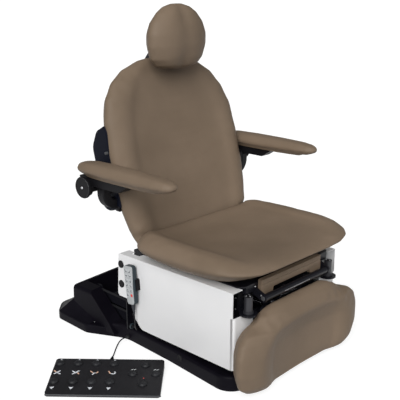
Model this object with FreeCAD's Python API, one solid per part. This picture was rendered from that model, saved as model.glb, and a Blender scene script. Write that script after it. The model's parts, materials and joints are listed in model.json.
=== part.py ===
import FreeCAD, Part
import math
import os
from FreeCAD import Placement, Rotation, Vector

# Power procedure chair: a lift base, a carriage with side panels, a tilting seat, a reclining back with
# headrest and flip-up arms, a raising leg section, a corded handset and a corded foot control.
# +X is the sitter's left, the chair faces -Y, +Z is up, the origin is on the floor under the base plate.
# All sizes are in millimetres and degrees.

# Fits shared by all pieces
PLAY = 0.05
SOFT_GAP = 0.3
RUN_GAP = 2.0
PIN_RADIUS = 10.0
PIN_HEAD_RADIUS = 14.0
PIN_HEAD_THICK = 5.0

# Base plate and frame
PLATE_HALF_WIDTH = 250.0
PLATE_FRONT = -472.0
PLATE_REAR = 490.0
PLATE_THICK = 8.0
PLATE_CORNER = 60.0
RAIL_IN = 180.0
RAIL_WIDTH = 60.0
RAIL_HEIGHT = 22.0
RAIL_WALL = 3.0
RAIL_FRONT = -434.0
RAIL_REAR = 378.0
CROSS_HEIGHT = 12.0
CROSS_DEPTH = 50.0

# Lift linkage
LOWER_PIVOT = Vector(0, 330, 70)
UPPER_OFFSET = Vector(0, 25, 55)
ARM_LENGTH = 560.0
ARM_DROP = 15.0
BRACKET_IN = 204.0
BRACKET_THICK = 8.0
SIDE_PLAY = 4.0
ARM_THICK = 14.0
LOWER_ARM_RADIUS = 21.0
UPPER_ARM_RADIUS = 17.0
TORSION_RADIUS = 28.0
TORSION_WALL = 8.0
BUSH_WALL = 4.0
BUSH_FLANGE = 3.0
HORN_LENGTH = 170.0
HORN_ANGLE = 20.0

# Linear actuators and their forks
TONGUE_THICK = 16.0
TONGUE_RADIUS = 14.0
FORK_PLAY = 2.0
FORK_THICK = 6.0
FORK_PIN_RADIUS = 8.0
ACTUATOR_RADIUS = 26.0
ROD_RADIUS = 11.0
ROD_PLAY = 0.3
MOTOR_RADIUS = 27.0
MOTOR_LENGTH = 130.0
MOTOR_OFFSET = 54.0
GEARBOX_LENGTH = 44.0
ROD_OVERLAP = 60.0
BODY_SETBACK = 30.0
SHAFT_SETBACK = 26.0
LIFT_BASE = Vector(0, -400, 60)
LIFT_BODY = 420.0
LIFT_STROKE = 125.0
TILT_BASE = Vector(100, -20, 150)
TILT_TIP = Vector(100, -420, 320)
TILT_BODY = 330.0
TILT_STROKE = 92.0
BACK_BASE = Vector(0, -380, 330)
BACK_BODY = 290.0
BACK_STROKE = 104.0
LEG_BASE = Vector(-100, -120, 270)
LEG_TIP = Vector(-100, -470, 275)
LEG_BODY = 255.0
LEG_STROKE = 101.0

# Base cover
SKIRT_GAP = 2.0
SKIRT_TOP = 58.0
SKIRT_EDGE = 11.0
SKIRT_REAR = 190.0
COVER_WALL = 5.0
WELL_HALF_WIDTH = 246.0
WELL_FRONT = -440.0
WELL_REAR = 384.0
HUMP_HALF_WIDTH = 308.0
HUMP_TOP = 163.0
HUMP_CROWN = 177.0
HUMP_CROWN_RADIUS = 2500.0
HUMP_EDGE = 16.0
HUMP_FOOT = 170.0
HUMP_CREST = 292.0
HUMP_REAR = 397.0
FOOT_TOP = 38.0
FOOT_EDGE = 8.0
TAIL_TOP = 104.0
TAIL_FALL = 52.0
FRONT_END = 488.0
FRONT_HALF_WIDTH = 322.0
SIDE_AT = -150.0
SIDE_HALF_WIDTH = 288.0
WAIST_HALF_WIDTH = 272.0
WAIST_AT = 110.0
FOOT_HALF_WIDTH = 350.0
FOOT_AT = 270.0
REAR_END = 532.0
REAR_CORNER = 66.0
INLET_AT = 70.0
INLET_WIDTH = 30.0
INLET_HEIGHT = 20.0
INLET_LEVEL = 19.0
INLET_PLAY = 0.5
CONTROL_HALF_WIDTH = 140.0
CONTROL_FRONT = 408.0
CONTROL_REAR = 464.0
CONTROL_TOP = 48.0

# Carriage and side panels
TILT_PIVOT = Vector(0, 70, 338)
LUG_RADIUS = 18.0
CHEEK_TOP = 318.0
TUBE_RADIUS = 14.0
TUBE_WALL = 3.0
FRONT_TUBE = Vector(0, -425, 232)
MIDDLE_TUBE = Vector(0, 22, 262)
REAR_TUBE = Vector(0, 72, 282)
PANEL_HALF_SPAN = 305.0
SHEET = 2.5
PANEL_FRONT = -478.0
PANEL_REAR = 112.0
PANEL_TOP = 376.0
PANEL_LOW = 87.0
PANEL_EAR_LOW = 202.0
PANEL_BEND = 14.0
FLANGE_TOP = 282.0
FRONT_FLANGE = 105.0
TOP_FLANGE = 50.0
NOTCH_WIDTH = 20.0
NOTCH_LENGTH = 46.0
CAP_RADIUS = 15.0
CAP_THICK = 4.0
CAP_LEVELS = (334.0, 253.0)
CAP_AT = 92.0
OUTRIGGER_TOP = 312.0

# Handset, its holder and its cord
HANDSET_CENTRE = Vector(0, 14, 277)
HANDSET_LEAN = 5.5
HANDSET_LENGTH = 154.0
HANDSET_WIDTH = 47.0
HANDSET_TAIL_WIDTH = 37.0
HANDSET_THICK = 24.0
HANDSET_STANDOFF = 6.0
HOLDER_HEIGHT = 46.0
HOLDER_WALL = 3.5
RELIEF_LENGTH = 30.0
RELIEF_ROOT = 6.5
CORD_RADIUS = 2.5
CORD_LEAD = 28.0
HANDSET_ROUTE = (
    (-321.0, 3.0, 113.0), (-312.0, 8.0, 91.0), (-298.0, 18.0, 78.5), (-284.0, 32.0, 76.0),
    (-284.0, 54.0, 76.0))
GLAND_RADIUS = 8.0
GLAND_LENGTH = 20.0
STRAP_WIDTH = 26.0
STRAP_THICK = 4.0
STRAP_LOW = 63.0

# Foot control and its cord
PEDAL_CENTRE = Vector(-547, -92, 0)
PEDAL_TURN = -48.3
PEDAL_WIDTH = 402.0
PEDAL_DEPTH = 224.0
PEDAL_FRONT_HEIGHT = 13.0
PEDAL_REAR_HEIGHT = 30.0
PEDAL_CORNER = 12.0
PEDAL_WALL = 3.0
PEDAL_FOOT_HEIGHT = 3.0
PEDAL_FOOT_RADIUS = 10.0
BUTTON_RADIUS = 16.6
BUTTON_PLAY = 0.4
BUTTON_RISE = 5.0
BUTTON_DEPTH = 8.0
BUTTON_EDGE = 1.5
ROW_COLUMNS = (-182.0, -115.0, -48.0, 17.0)
ROW_REAR = 80.0
ROW_FRONT = -36.0
CLUSTER = ((134.0, 73.0), (93.0, 17.0), (175.0, 17.0), (134.0, -46.0))
FOOT_RELIEF = 24.0
FOOT_RELIEF_HEIGHT = 13.0
FOOT_ROUTE = ((-402.0, 38.0, 5.0), (-372.0, 64.0, 3.0), (-341.0, 86.0, 8.0), (-316.0, 95.0, 18.0))
FOOT_GLAND = Vector(-293, 95, 18)
FOOT_GLAND_NOSE = 12.0
FOOT_GLAND_LENGTH = 30.0

# Seat
SEAT_RAIL_IN = 216.0
SEAT_RAIL_WIDTH = 25.0
SEAT_RAIL_LOW = 354.0
PAN_LOW = 378.0
PAN_THICK = 5.0
PAN_FRONT = -478.0
PAN_REAR = 62.0
PAN_HALF_WIDTH = 262.0
PAN_SHOULDER = -36.0
PAN_TAIL_HALF_WIDTH = 200.0
LEVER_SLOT = 60.0
ACTUATOR_TUNNEL = 90.0
SEAT_REAR = -26.0
POST_X = 239.0
POST_Y = -489.0
POST_RADIUS = 15.0
POST_TOP = 351.0
POST_DISC_RADIUS = 32.0
POST_DISC_TOP = 290.0
POST_DISC_THICK = 6.0
TRIM_SIDE_GAP = 6.0
TRIM_FRONT = -498.0
TRIM_LOW = 336.0
TRIM_HIGH = 394.0
TRIM_NOTCH = 350.0
TRIM_LEG = 68.0

# Back, headrest and arms
BACK_PIVOT = Vector(0, 45, 415)
BACK_LEAN = 14.5
HINGE_TUBE_RADIUS = 16.0
HINGE_X = 180.0
BACK_ARM_X = 160.0
BACK_ARM_THICK = 10.0
HINGE_LUG_THICK = 8.0
HINGE_PIN_LENGTH = 26.0
BACK_LEVER = Vector(0, 60, -60)
BACK_REAR = 12.0
BACK_PLATE_THICK = 5.0
BACK_PLATE_HALF_WIDTH = 230.0
BACK_PLATE_LOW = 60.0
BACK_PLATE_HIGH = 440.0
SHELL_HALF_WIDTH = 342.0
SHELL_WALL = 4.0
SHELL_REACH = 50.0
SHELL_PLAY = 1.0
MAST_HALF_WIDTH = 20.0
MAST_THICK = 8.0
MAST_SETBACK = 30.0
MAST_LOW = 262.0
MAST_BEND = 690.0
GUIDE_LOW = 270.0
GUIDE_HIGH = 395.0
GUIDE_WALL = 9.0
HEAD_PIVOT = Vector(0, 160, 1166)
HEAD_REAR = 128.0
HEAD_PLATE_THICK = 5.0
HEAD_PIN_RADIUS = 8.0
HEAD_LUG_THICK = 8.0
ARM_PIVOT = Vector(0, 123, 662)
ARM_GAP = 33.0
ARM_BAR_WIDTH = 50.0
ARM_BAR_TOP = 698.0
ARM_BAR_LOW = 667.0
ARM_BAR_FRONT = -92.0
ARM_BAR_REAR = 170.0
ARM_BOSS_RADIUS = 24.0
ELBOW_FRONT = 60.0
ELBOW_REAR = 97.0
ELBOW_REACH = 65.0
ELBOW_THICK = 35.0
ELBOW_TOP = 664.0
CARRIER_THICK = 12.0
KNOB_RADIUS = 36.5
KNOB_NECK_RADIUS = 34.0
KNOB_THICK = 25.0
KNOB_CAP = 13.0

# Leg section
LEG_PIVOT = Vector(0, -515, 335)
LEG_TUBE_RADIUS = 12.0
LEG_TUBE_HALF = 182.0
LEG_LUG_THICK = 8.0
LEG_SETBACK = 20.0
LEG_REAR = LEG_PIVOT.y + LEG_SETBACK
LEG_PLATE_THICK = 6.0
LEG_PLATE_HALF_WIDTH = 178.0
LEG_PLATE_LOW = 60.0
LEG_PLATE_HIGH = 290.0
LEG_ARM_X = 60.0
LEG_ARM_THICK = 8.0

# Places worked out from the driving dimensions
CARRIAGE_LOWER = LOWER_PIVOT + Vector(0, -math.sqrt(ARM_LENGTH ** 2 - ARM_DROP ** 2), -ARM_DROP)
CARRIAGE_UPPER = CARRIAGE_LOWER + UPPER_OFFSET
UPPER_PIVOT = LOWER_PIVOT + UPPER_OFFSET
ARM_IN = BRACKET_IN + BRACKET_THICK + SIDE_PLAY
ARM_OUT = ARM_IN + ARM_THICK
HORN_TIP = LOWER_PIVOT + Vector(
    0, -HORN_LENGTH * math.cos(math.radians(HORN_ANGLE)), HORN_LENGTH * math.sin(math.radians(HORN_ANGLE)))
BACK_TIP = BACK_PIVOT + BACK_LEVER
FORK_HALF_GAP = TONGUE_THICK / 2 + FORK_PLAY
PANEL_IN = PANEL_HALF_SPAN - SHEET
PAN_TOP = PAN_LOW + PAN_THICK
TRIM_HALF_WIDTH = LEG_TUBE_HALF + RUN_GAP - TRIM_SIDE_GAP
BACK_HALF_WIDTH = SHELL_HALF_WIDTH - SHELL_WALL - SHELL_PLAY
ARM_BAR_IN = SHELL_HALF_WIDTH + ARM_GAP
ELBOW_OUT = SHELL_HALF_WIDTH + ELBOW_REACH
PAD_X = ARM_BAR_IN + ARM_BAR_WIDTH / 2
HANDSET_IN = PANEL_HALF_SPAN + HANDSET_STANDOFF
PEDAL_SLOPE = (PEDAL_REAR_HEIGHT - PEDAL_FRONT_HEIGHT) / PEDAL_DEPTH
X_AXIS = Vector(1, 0, 0)


# A cushion's side, as shares of its edge height and of its tuck
FLANK = 0.45
FLANK_TUCK = 0.12
WIDEST = 0.66
SHOULDER_TUCK = 0.3


# Shape helpers
def box(x, y, z):
    return Part.makeBox(x[1] - x[0], y[1] - y[0], z[1] - z[0], Vector(x[0], y[0], z[0]))


def disc_x(centre, radius, x):
    return Part.makeCylinder(radius, x[1] - x[0], Vector(x[0], centre.y, centre.z), X_AXIS)


def disc_z(centre, radius, z):
    return Part.makeCylinder(radius, z[1] - z[0], Vector(centre.x, centre.y, z[0]))


def ring_x(centre, outer, inner, x):
    return disc_x(centre, outer, x).cut(disc_x(centre, inner, x))


def mirrored(shape):
    return shape.mirror(Vector(0, 0, 0), X_AXIS)


def both_sides(shape):
    return [shape, mirrored(shape)]


def fused(shapes):
    return shapes[0].fuse(shapes[1:]).removeSplitter()


def group(shapes):
    return Part.makeCompound(shapes)


def rounded_wire(corners, place):
    """Closed outline through (a, b, radius) corners, each corner rounded by its radius."""
    arcs = []
    count = len(corners)
    for index, (a, b, radius) in enumerate(corners):
        here = Vector(a, b, 0)
        before = Vector(corners[index - 1][0], corners[index - 1][1], 0)
        after = Vector(corners[(index + 1) % count][0], corners[(index + 1) % count][1], 0)
        back = (before - here).normalize()
        ahead = (after - here).normalize()
        half = back.getAngle(ahead) / 2
        reach = radius / math.tan(half)
        inward = (back + ahead).normalize()
        middle = here + inward * (radius / math.sin(half) - radius)
        arcs.append((here + back * reach, middle, here + ahead * reach, radius))
    edges = []
    for index, (start, middle, end, radius) in enumerate(arcs):
        if radius > 0:
            edges.append(Part.Arc(place(start), place(middle), place(end)).toShape())
        following = arcs[(index + 1) % count][0]
        if (following - end).Length > 1e-6:
            edges.append(Part.makeLine(place(end), place(following)))
    return Part.Wire(edges)


def side_plate(corners, x):
    """Plate in a YZ plane, between two X places."""
    wire = rounded_wire(corners, lambda p: Vector(x[0], p.x, p.y))
    return Part.Face(wire).extrude(Vector(x[1] - x[0], 0, 0))


def floor_plate(corners, z):
    """Plate in an XY plane, between two heights."""
    wire = rounded_wire(corners, lambda p: Vector(p.x, p.y, z[0]))
    return Part.Face(wire).extrude(Vector(0, 0, z[1] - z[0]))


def wall_plate(corners, y):
    """Plate in an XZ plane, between two Y places."""
    wire = rounded_wire(corners, lambda p: Vector(p.x, y[0], p.y))
    return Part.Face(wire).extrude(Vector(0, y[1] - y[0], 0))


def link(start, end, radius, x):
    """Bar with round ends about two pivots, in a YZ plane."""
    along = Vector(0, end.y - start.y, end.z - start.z).normalize()
    side = Vector(0, -along.z, along.y) * radius
    tip = along * radius
    p = Vector(x[0], start.y, start.z)
    q = Vector(x[0], end.y, end.z)
    wire = Part.Wire([
        Part.makeLine(p + side, q + side),
        Part.Arc(q + side, q + tip, q - side).toShape(),
        Part.makeLine(q - side, p - side),
        Part.Arc(p - side, p - tip, p + side).toShape()])
    return Part.Face(wire).extrude(Vector(x[1] - x[0], 0, 0))


def fork(pivot, anchor, radius=TONGUE_RADIUS):
    """Two cheeks that take an actuator's tongue between them."""
    near = pivot.x + FORK_HALF_GAP
    far = pivot.x - FORK_HALF_GAP
    return [link(pivot, anchor, radius, (near, near + FORK_THICK)),
            link(pivot, anchor, radius, (far - FORK_THICK, far))]


def fork_pin(pivot):
    half = FORK_HALF_GAP + FORK_THICK
    return disc_x(pivot, FORK_PIN_RADIUS, (pivot.x - half, pivot.x + half))


def round_tube_x(centre, radius, wall, half):
    return ring_x(centre, radius, radius - wall, (-half, half))


def actuator(base, tip, body_length, stroke, motor_side, run_out=0.0):
    """Body with motor and gearbox, and its rod run out by part of its stroke, from base to tip."""
    along = tip - base
    reach = along.Length
    place = Placement(base, Rotation(Vector(0, 0, 1), along))
    start = Vector(0, 0, 0)
    half = TONGUE_THICK / 2
    motor = Vector(motor_side * MOTOR_OFFSET, 0, 0)
    motor_start = BODY_SETBACK + RUN_GAP
    tongue = link(start, Vector(0, 0, motor_start + half), TONGUE_RADIUS, (-half, half))
    tube = disc_z(start, ACTUATOR_RADIUS, (BODY_SETBACK, body_length))
    collar = disc_z(start, ACTUATOR_RADIUS + FORK_PLAY, (body_length - GEARBOX_LENGTH / 2, body_length))
    can = disc_z(motor, MOTOR_RADIUS, (motor_start, motor_start + MOTOR_LENGTH))
    low_x, high_x = sorted((0.0, motor.x))
    gearbox = box((low_x, high_x), (-MOTOR_RADIUS, MOTOR_RADIUS), (motor_start, motor_start + GEARBOX_LENGTH))
    bore_end = body_length - stroke - ROD_OVERLAP
    bore = disc_z(start, ROD_RADIUS + ROD_PLAY, (bore_end - RUN_GAP, body_length + RUN_GAP))
    eye = disc_x(start, FORK_PIN_RADIUS + PLAY, (-half, half))
    body = fused([tongue, tube, collar, can, gearbox]).cut(bore).cut(eye)
    end = Vector(0, 0, reach)
    shaft = disc_z(start, ROD_RADIUS, (bore_end + run_out, reach - SHAFT_SETBACK))
    head = link(Vector(0, 0, reach - SHAFT_SETBACK), end, TONGUE_RADIUS, (-half, half))
    rod = fused([shaft, head])
    body.Placement = place
    rod.Placement = place
    return body, rod


def cushion_ring(place, half, tuck, edge, crest_at, crest, valley_at, valley, centre):
    """Section of a cushion: flat base, slanted flanks, raised bolsters and a dished or crowned middle."""
    right = [(half - tuck, 0.0), (half - FLANK_TUCK * tuck, FLANK * edge), (half, WIDEST * edge),
             (half - SHOULDER_TUCK * tuck, edge), (crest_at, crest), (valley_at, valley)]
    p = [place(a, b) for a, b in right]
    q = [place(-a, b) for a, b in right]
    return Part.Wire([
        Part.makeLine(q[0], p[0]), Part.makeLine(p[0], p[1]),
        Part.Arc(p[1], p[2], p[3]).toShape(), Part.Arc(p[3], p[4], p[5]).toShape(),
        Part.Arc(p[5], place(0.0, centre), q[5]).toShape(),
        Part.Arc(q[5], q[4], q[3]).toShape(), Part.Arc(q[3], q[2], q[1]).toShape(),
        Part.makeLine(q[1], q[0])])


def cushion(rings, behind):
    """Loft through the rings, flat where it lies on its board."""
    return Part.makeLoft(rings, True, True).cut(behind)


def cord(points):
    """Tube along straight runs joined by arcs as large as the runs allow."""
    corners = [Vector(*p) for p in points]
    edges = []
    radii = []
    last = corners[0]
    for before, here, after in zip(corners, corners[1:], corners[2:]):
        back = (before - here).normalize()
        ahead = (after - here).normalize()
        half_turn = (math.pi - back.getAngle(ahead)) / 2
        reach = 0.45 * min((before - here).Length, (after - here).Length)
        radius = reach / math.tan(half_turn)
        inward = (back + ahead).normalize()
        middle = here + inward * (radius / math.cos(half_turn) - radius)
        start = here + back * reach
        end = here + ahead * reach
        edges.append(Part.makeLine(last, start))
        edges.append(Part.Arc(start, middle, end).toShape())
        radii.append(round(radius, 1))
        last = end
    edges.append(Part.makeLine(last, corners[-1]))
    path = Part.Wire(edges)
    first = (corners[1] - corners[0]).normalize()
    section = Part.Wire(Part.makeCircle(CORD_RADIUS, corners[0], first))
    tube = path.makePipeShell([section], True, False)
    ideal = math.pi * CORD_RADIUS ** 2 * path.Length
    print("cord length", round(path.Length, 1), "radii", radii, "volume ratio", round(tube.Volume / ideal, 4))
    return tube


# Base plate, base frame, base pivots and control box
def base_plate():
    w, r = PLATE_HALF_WIDTH, PLATE_CORNER
    front, rear = PLATE_FRONT, PLATE_REAR
    return floor_plate([(-w, front, r), (w, front, r), (w, rear, r), (-w, rear, r)], (0, PLATE_THICK))


def base_frame():
    low = PLATE_THICK
    high = PLATE_THICK + RAIL_HEIGHT
    length = (RAIL_FRONT, RAIL_REAR)
    rail = box((RAIL_IN, RAIL_IN + RAIL_WIDTH), length, (low, high))
    hollow = box((RAIL_IN + RAIL_WALL, RAIL_IN + RAIL_WIDTH - RAIL_WALL), length,
                 (low + RAIL_WALL, high - RAIL_WALL))
    y, z = LOWER_PIVOT.y, LOWER_PIVOT.z
    bush_hole = TORSION_RADIUS + PLAY + BUSH_WALL
    top_y, top_z = UPPER_PIVOT.y, UPPER_PIVOT.z
    bracket = side_plate([
        (y - 58, low, 0), (top_y + 22, low, 0), (top_y + 22, top_z - 6, 8), (top_y + 18, top_z + 24, 16),
        (top_y - 18, top_z + 24, 18), (y - 42, z + 14, 22)], (BRACKET_IN, BRACKET_IN + BRACKET_THICK))
    span = (BRACKET_IN - RUN_GAP, BRACKET_IN + BRACKET_THICK + RUN_GAP)
    side = rail.cut(hollow).fuse(bracket)
    side = side.cut(disc_x(LOWER_PIVOT, bush_hole, span)).cut(disc_x(UPPER_PIVOT, PIN_RADIUS, span))
    anchor = Vector(LIFT_BASE.x, LIFT_BASE.y, PLATE_THICK + TONGUE_RADIUS)
    across = (-RAIL_IN - RAIL_WALL, RAIL_IN + RAIL_WALL)
    front = box(across, (LIFT_BASE.y - CROSS_DEPTH / 2, LIFT_BASE.y + CROSS_DEPTH / 2),
                (low, low + CROSS_HEIGHT))
    rear = box(across, (y - CROSS_DEPTH / 2, y + CROSS_DEPTH / 2), (low, low + CROSS_HEIGHT))
    return fused(both_sides(side) + [front, rear, fork_pin(LIFT_BASE)] + fork(LIFT_BASE, anchor))


def pivot_pin(pivot, start, end):
    """Pin with a head outside the arm that it carries."""
    shank = disc_x(pivot, PIN_RADIUS, (start, end + 1))
    head = disc_x(pivot, PIN_HEAD_RADIUS, (end + 1, end + 1 + PIN_HEAD_THICK))
    return fused([shank, head])


def lift_base_pivots():
    bore = TORSION_RADIUS + PLAY
    outer = bore + BUSH_WALL
    sleeve = ring_x(LOWER_PIVOT, outer, bore, (BRACKET_IN, BRACKET_IN + BRACKET_THICK))
    flange = ring_x(LOWER_PIVOT, outer + BUSH_WALL, bore, (BRACKET_IN - BUSH_FLANGE, BRACKET_IN))
    pin = pivot_pin(UPPER_PIVOT, BRACKET_IN, ARM_OUT)
    return group(both_sides(fused([sleeve, flange])) + both_sides(pin))


def control_box():
    case = box((-CONTROL_HALF_WIDTH, CONTROL_HALF_WIDTH), (CONTROL_FRONT, CONTROL_REAR),
               (PLATE_THICK, CONTROL_TOP))
    inlet = box((INLET_AT - INLET_WIDTH / 2, INLET_AT + INLET_WIDTH / 2), (CONTROL_REAR, REAR_END + 1),
                (INLET_LEVEL - INLET_HEIGHT / 2, INLET_LEVEL + INLET_HEIGHT / 2))
    reach = INLET_WIDTH / 2 - 4
    socket = box((INLET_AT - reach, INLET_AT + reach), (REAR_END - 14, REAR_END + 2),
                 (INLET_LEVEL - INLET_HEIGHT / 2 + 4, INLET_LEVEL + INLET_HEIGHT / 2 - 4))
    return fused([case, inlet]).cut(socket)


# Base cover: a skirt, a flared rear foot rising to a crowned hump, and an open well for the lift arms
def footprint(inset, z):
    half = [(FRONT_HALF_WIDTH, -FRONT_END, 70), (SIDE_HALF_WIDTH, SIDE_AT, 600),
            (WAIST_HALF_WIDTH, WAIST_AT, 150),
            (FOOT_HALF_WIDTH, FOOT_AT, 50), (FOOT_HALF_WIDTH - 8, REAR_END - REAR_CORNER, 50),
            (FOOT_HALF_WIDTH - 8 - REAR_CORNER, REAR_END, 70)]
    outline = half + [(-x, y, r) for x, y, r in reversed(half)]
    face = Part.Face(rounded_wire(outline, lambda p: Vector(p.x, p.y, z[0])))
    if inset:
        face = face.makeOffset2D(-inset)
    return face.extrude(Vector(0, 0, z[1] - z[0]))


def hump(inset):
    """Crowned block with a front ramp, inset on its sides, front, rear and top."""
    rise = (HUMP_TOP - SKIRT_TOP) / (HUMP_CREST - HUMP_FOOT)
    high = HUMP_CROWN + 20
    back = inset * math.sqrt(1 + rise ** 2) / rise
    side = side_plate([
        (HUMP_FOOT - 30 + back, 20, 0), (HUMP_FOOT + back, SKIRT_TOP, 30),
        (HUMP_CREST + (high - HUMP_TOP) / rise + back, high, 0), (HUMP_REAR - inset, high, 0),
        (HUMP_REAR - inset, 20, 0)], (-HUMP_HALF_WIDTH - 5, HUMP_HALF_WIDTH + 5))
    w = HUMP_HALF_WIDTH - inset
    front = wall_plate([
        (-w - 3, 20, 0), (-w, HUMP_TOP - inset, HUMP_EDGE), (0, HUMP_CROWN - inset, HUMP_CROWN_RADIUS),
        (w, HUMP_TOP - inset, HUMP_EDGE), (w + 3, 20, 0)], (HUMP_FOOT - 60, HUMP_REAR + 20))
    return side.common(front)


def tail(inset):
    """Sloping sides between the flared foot and the hump, falling towards the front."""
    low, high = FOOT_TOP - inset - 3, TAIL_TOP - inset
    foot = [(FOOT_HALF_WIDTH - 4, FOOT_AT - 8), (FOOT_HALF_WIDTH - 11, REAR_END - REAR_CORNER - 2),
            (FOOT_HALF_WIDTH - 10 - REAR_CORNER, REAR_END - 5)]
    crest = [(HUMP_HALF_WIDTH - 2, FOOT_AT - 8), (HUMP_HALF_WIDTH - 2, HUMP_REAR + 1),
             (HUMP_HALF_WIDTH - 18, HUMP_REAR + 5)]
    slope = TAIL_FALL / (HUMP_REAR - FOOT_AT)
    wires = []
    for points, z, rise in ((foot, low, 0), (crest, high, slope)):
        places = [(x - inset * 1.5, y - inset * 1.5 * (y > FOOT_AT)) for x, y in points]
        right = [Vector(x, y, z - rise * (HUMP_REAR - y)) for x, y in places]
        left = [Vector(-p.x, p.y, p.z) for p in reversed(right)]
        wires.append(Part.makePolygon(right + left + right[:1]))
    return Part.makeLoft(wires, True, True)


def rim_edges(shape, z):
    return [e for e in shape.Edges if abs(e.BoundBox.ZMin - z) < 1e-3]


def base_cover():
    wall = COVER_WALL
    deck = footprint(0, (SKIRT_GAP, SKIRT_TOP))
    deck = deck.makeFillet(SKIRT_EDGE, rim_edges(deck, SKIRT_TOP))
    far = FOOT_HALF_WIDTH * 2
    ahead = box((-far, far), (-far * 2, SKIRT_REAR), (-10, HUMP_CROWN * 2))
    foot = footprint(0, (SKIRT_GAP, FOOT_TOP))
    foot = foot.makeFillet(FOOT_EDGE, rim_edges(foot, FOOT_TOP))
    outer = foot.fuse([deck.common(ahead), hump(0), tail(0)])
    inner_deck = footprint(wall, (-1, SKIRT_TOP - wall)).common(ahead)
    inner = footprint(wall, (-1, FOOT_TOP - wall)).fuse([inner_deck, hump(wall), tail(wall)])
    walled = box((-WELL_HALF_WIDTH - wall, WELL_HALF_WIDTH + wall), (WELL_FRONT - wall, WELL_REAR + wall),
                 (PLATE_THICK, HUMP_CROWN * 2))
    well = box((-WELL_HALF_WIDTH, WELL_HALF_WIDTH), (WELL_FRONT, WELL_REAR), (-1, HUMP_CROWN * 2))
    inlet = box((INLET_AT - INLET_WIDTH / 2 - INLET_PLAY, INLET_AT + INLET_WIDTH / 2 + INLET_PLAY),
                (REAR_END - 30, REAR_END + 5),
                (INLET_LEVEL - INLET_HEIGHT / 2 - INLET_PLAY, INLET_LEVEL + INLET_HEIGHT / 2 + INLET_PLAY))
    gland = disc_x(FOOT_GLAND, GLAND_RADIUS, (FOOT_GLAND.x, -WELL_HALF_WIDTH - wall - 1))
    return outer.cut(inner.cut(walled)).cut(well).cut(inlet).cut(gland).removeSplitter()


# Lift arms and carriage
def lower_lift_arm():
    bar = link(CARRIAGE_LOWER, LOWER_PIVOT, LOWER_ARM_RADIUS, (ARM_IN, ARM_OUT))
    boss = disc_x(LOWER_PIVOT, TORSION_RADIUS + BUSH_WALL, (ARM_IN, ARM_OUT))
    tube = disc_x(LOWER_PIVOT, TORSION_RADIUS, (-ARM_OUT, ARM_OUT))
    horn = fork(HORN_TIP, LOWER_PIVOT)
    arm = fused(both_sides(bar.fuse(boss)) + [tube] + horn)
    arm = arm.cut(disc_x(LOWER_PIVOT, TORSION_RADIUS - TORSION_WALL, (-ARM_OUT - 1, ARM_OUT + 1)))
    for hole in both_sides(disc_x(CARRIAGE_LOWER, PIN_RADIUS + PLAY, (ARM_IN - 1, ARM_OUT + 1))):
        arm = arm.cut(hole)
    return arm


def upper_lift_arms():
    bar = link(CARRIAGE_UPPER, UPPER_PIVOT, UPPER_ARM_RADIUS, (ARM_IN, ARM_OUT))
    for pivot in (CARRIAGE_UPPER, UPPER_PIVOT):
        bar = bar.cut(disc_x(pivot, PIN_RADIUS + PLAY, (ARM_IN - 1, ARM_OUT + 1)))
    return group(both_sides(bar))


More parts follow.
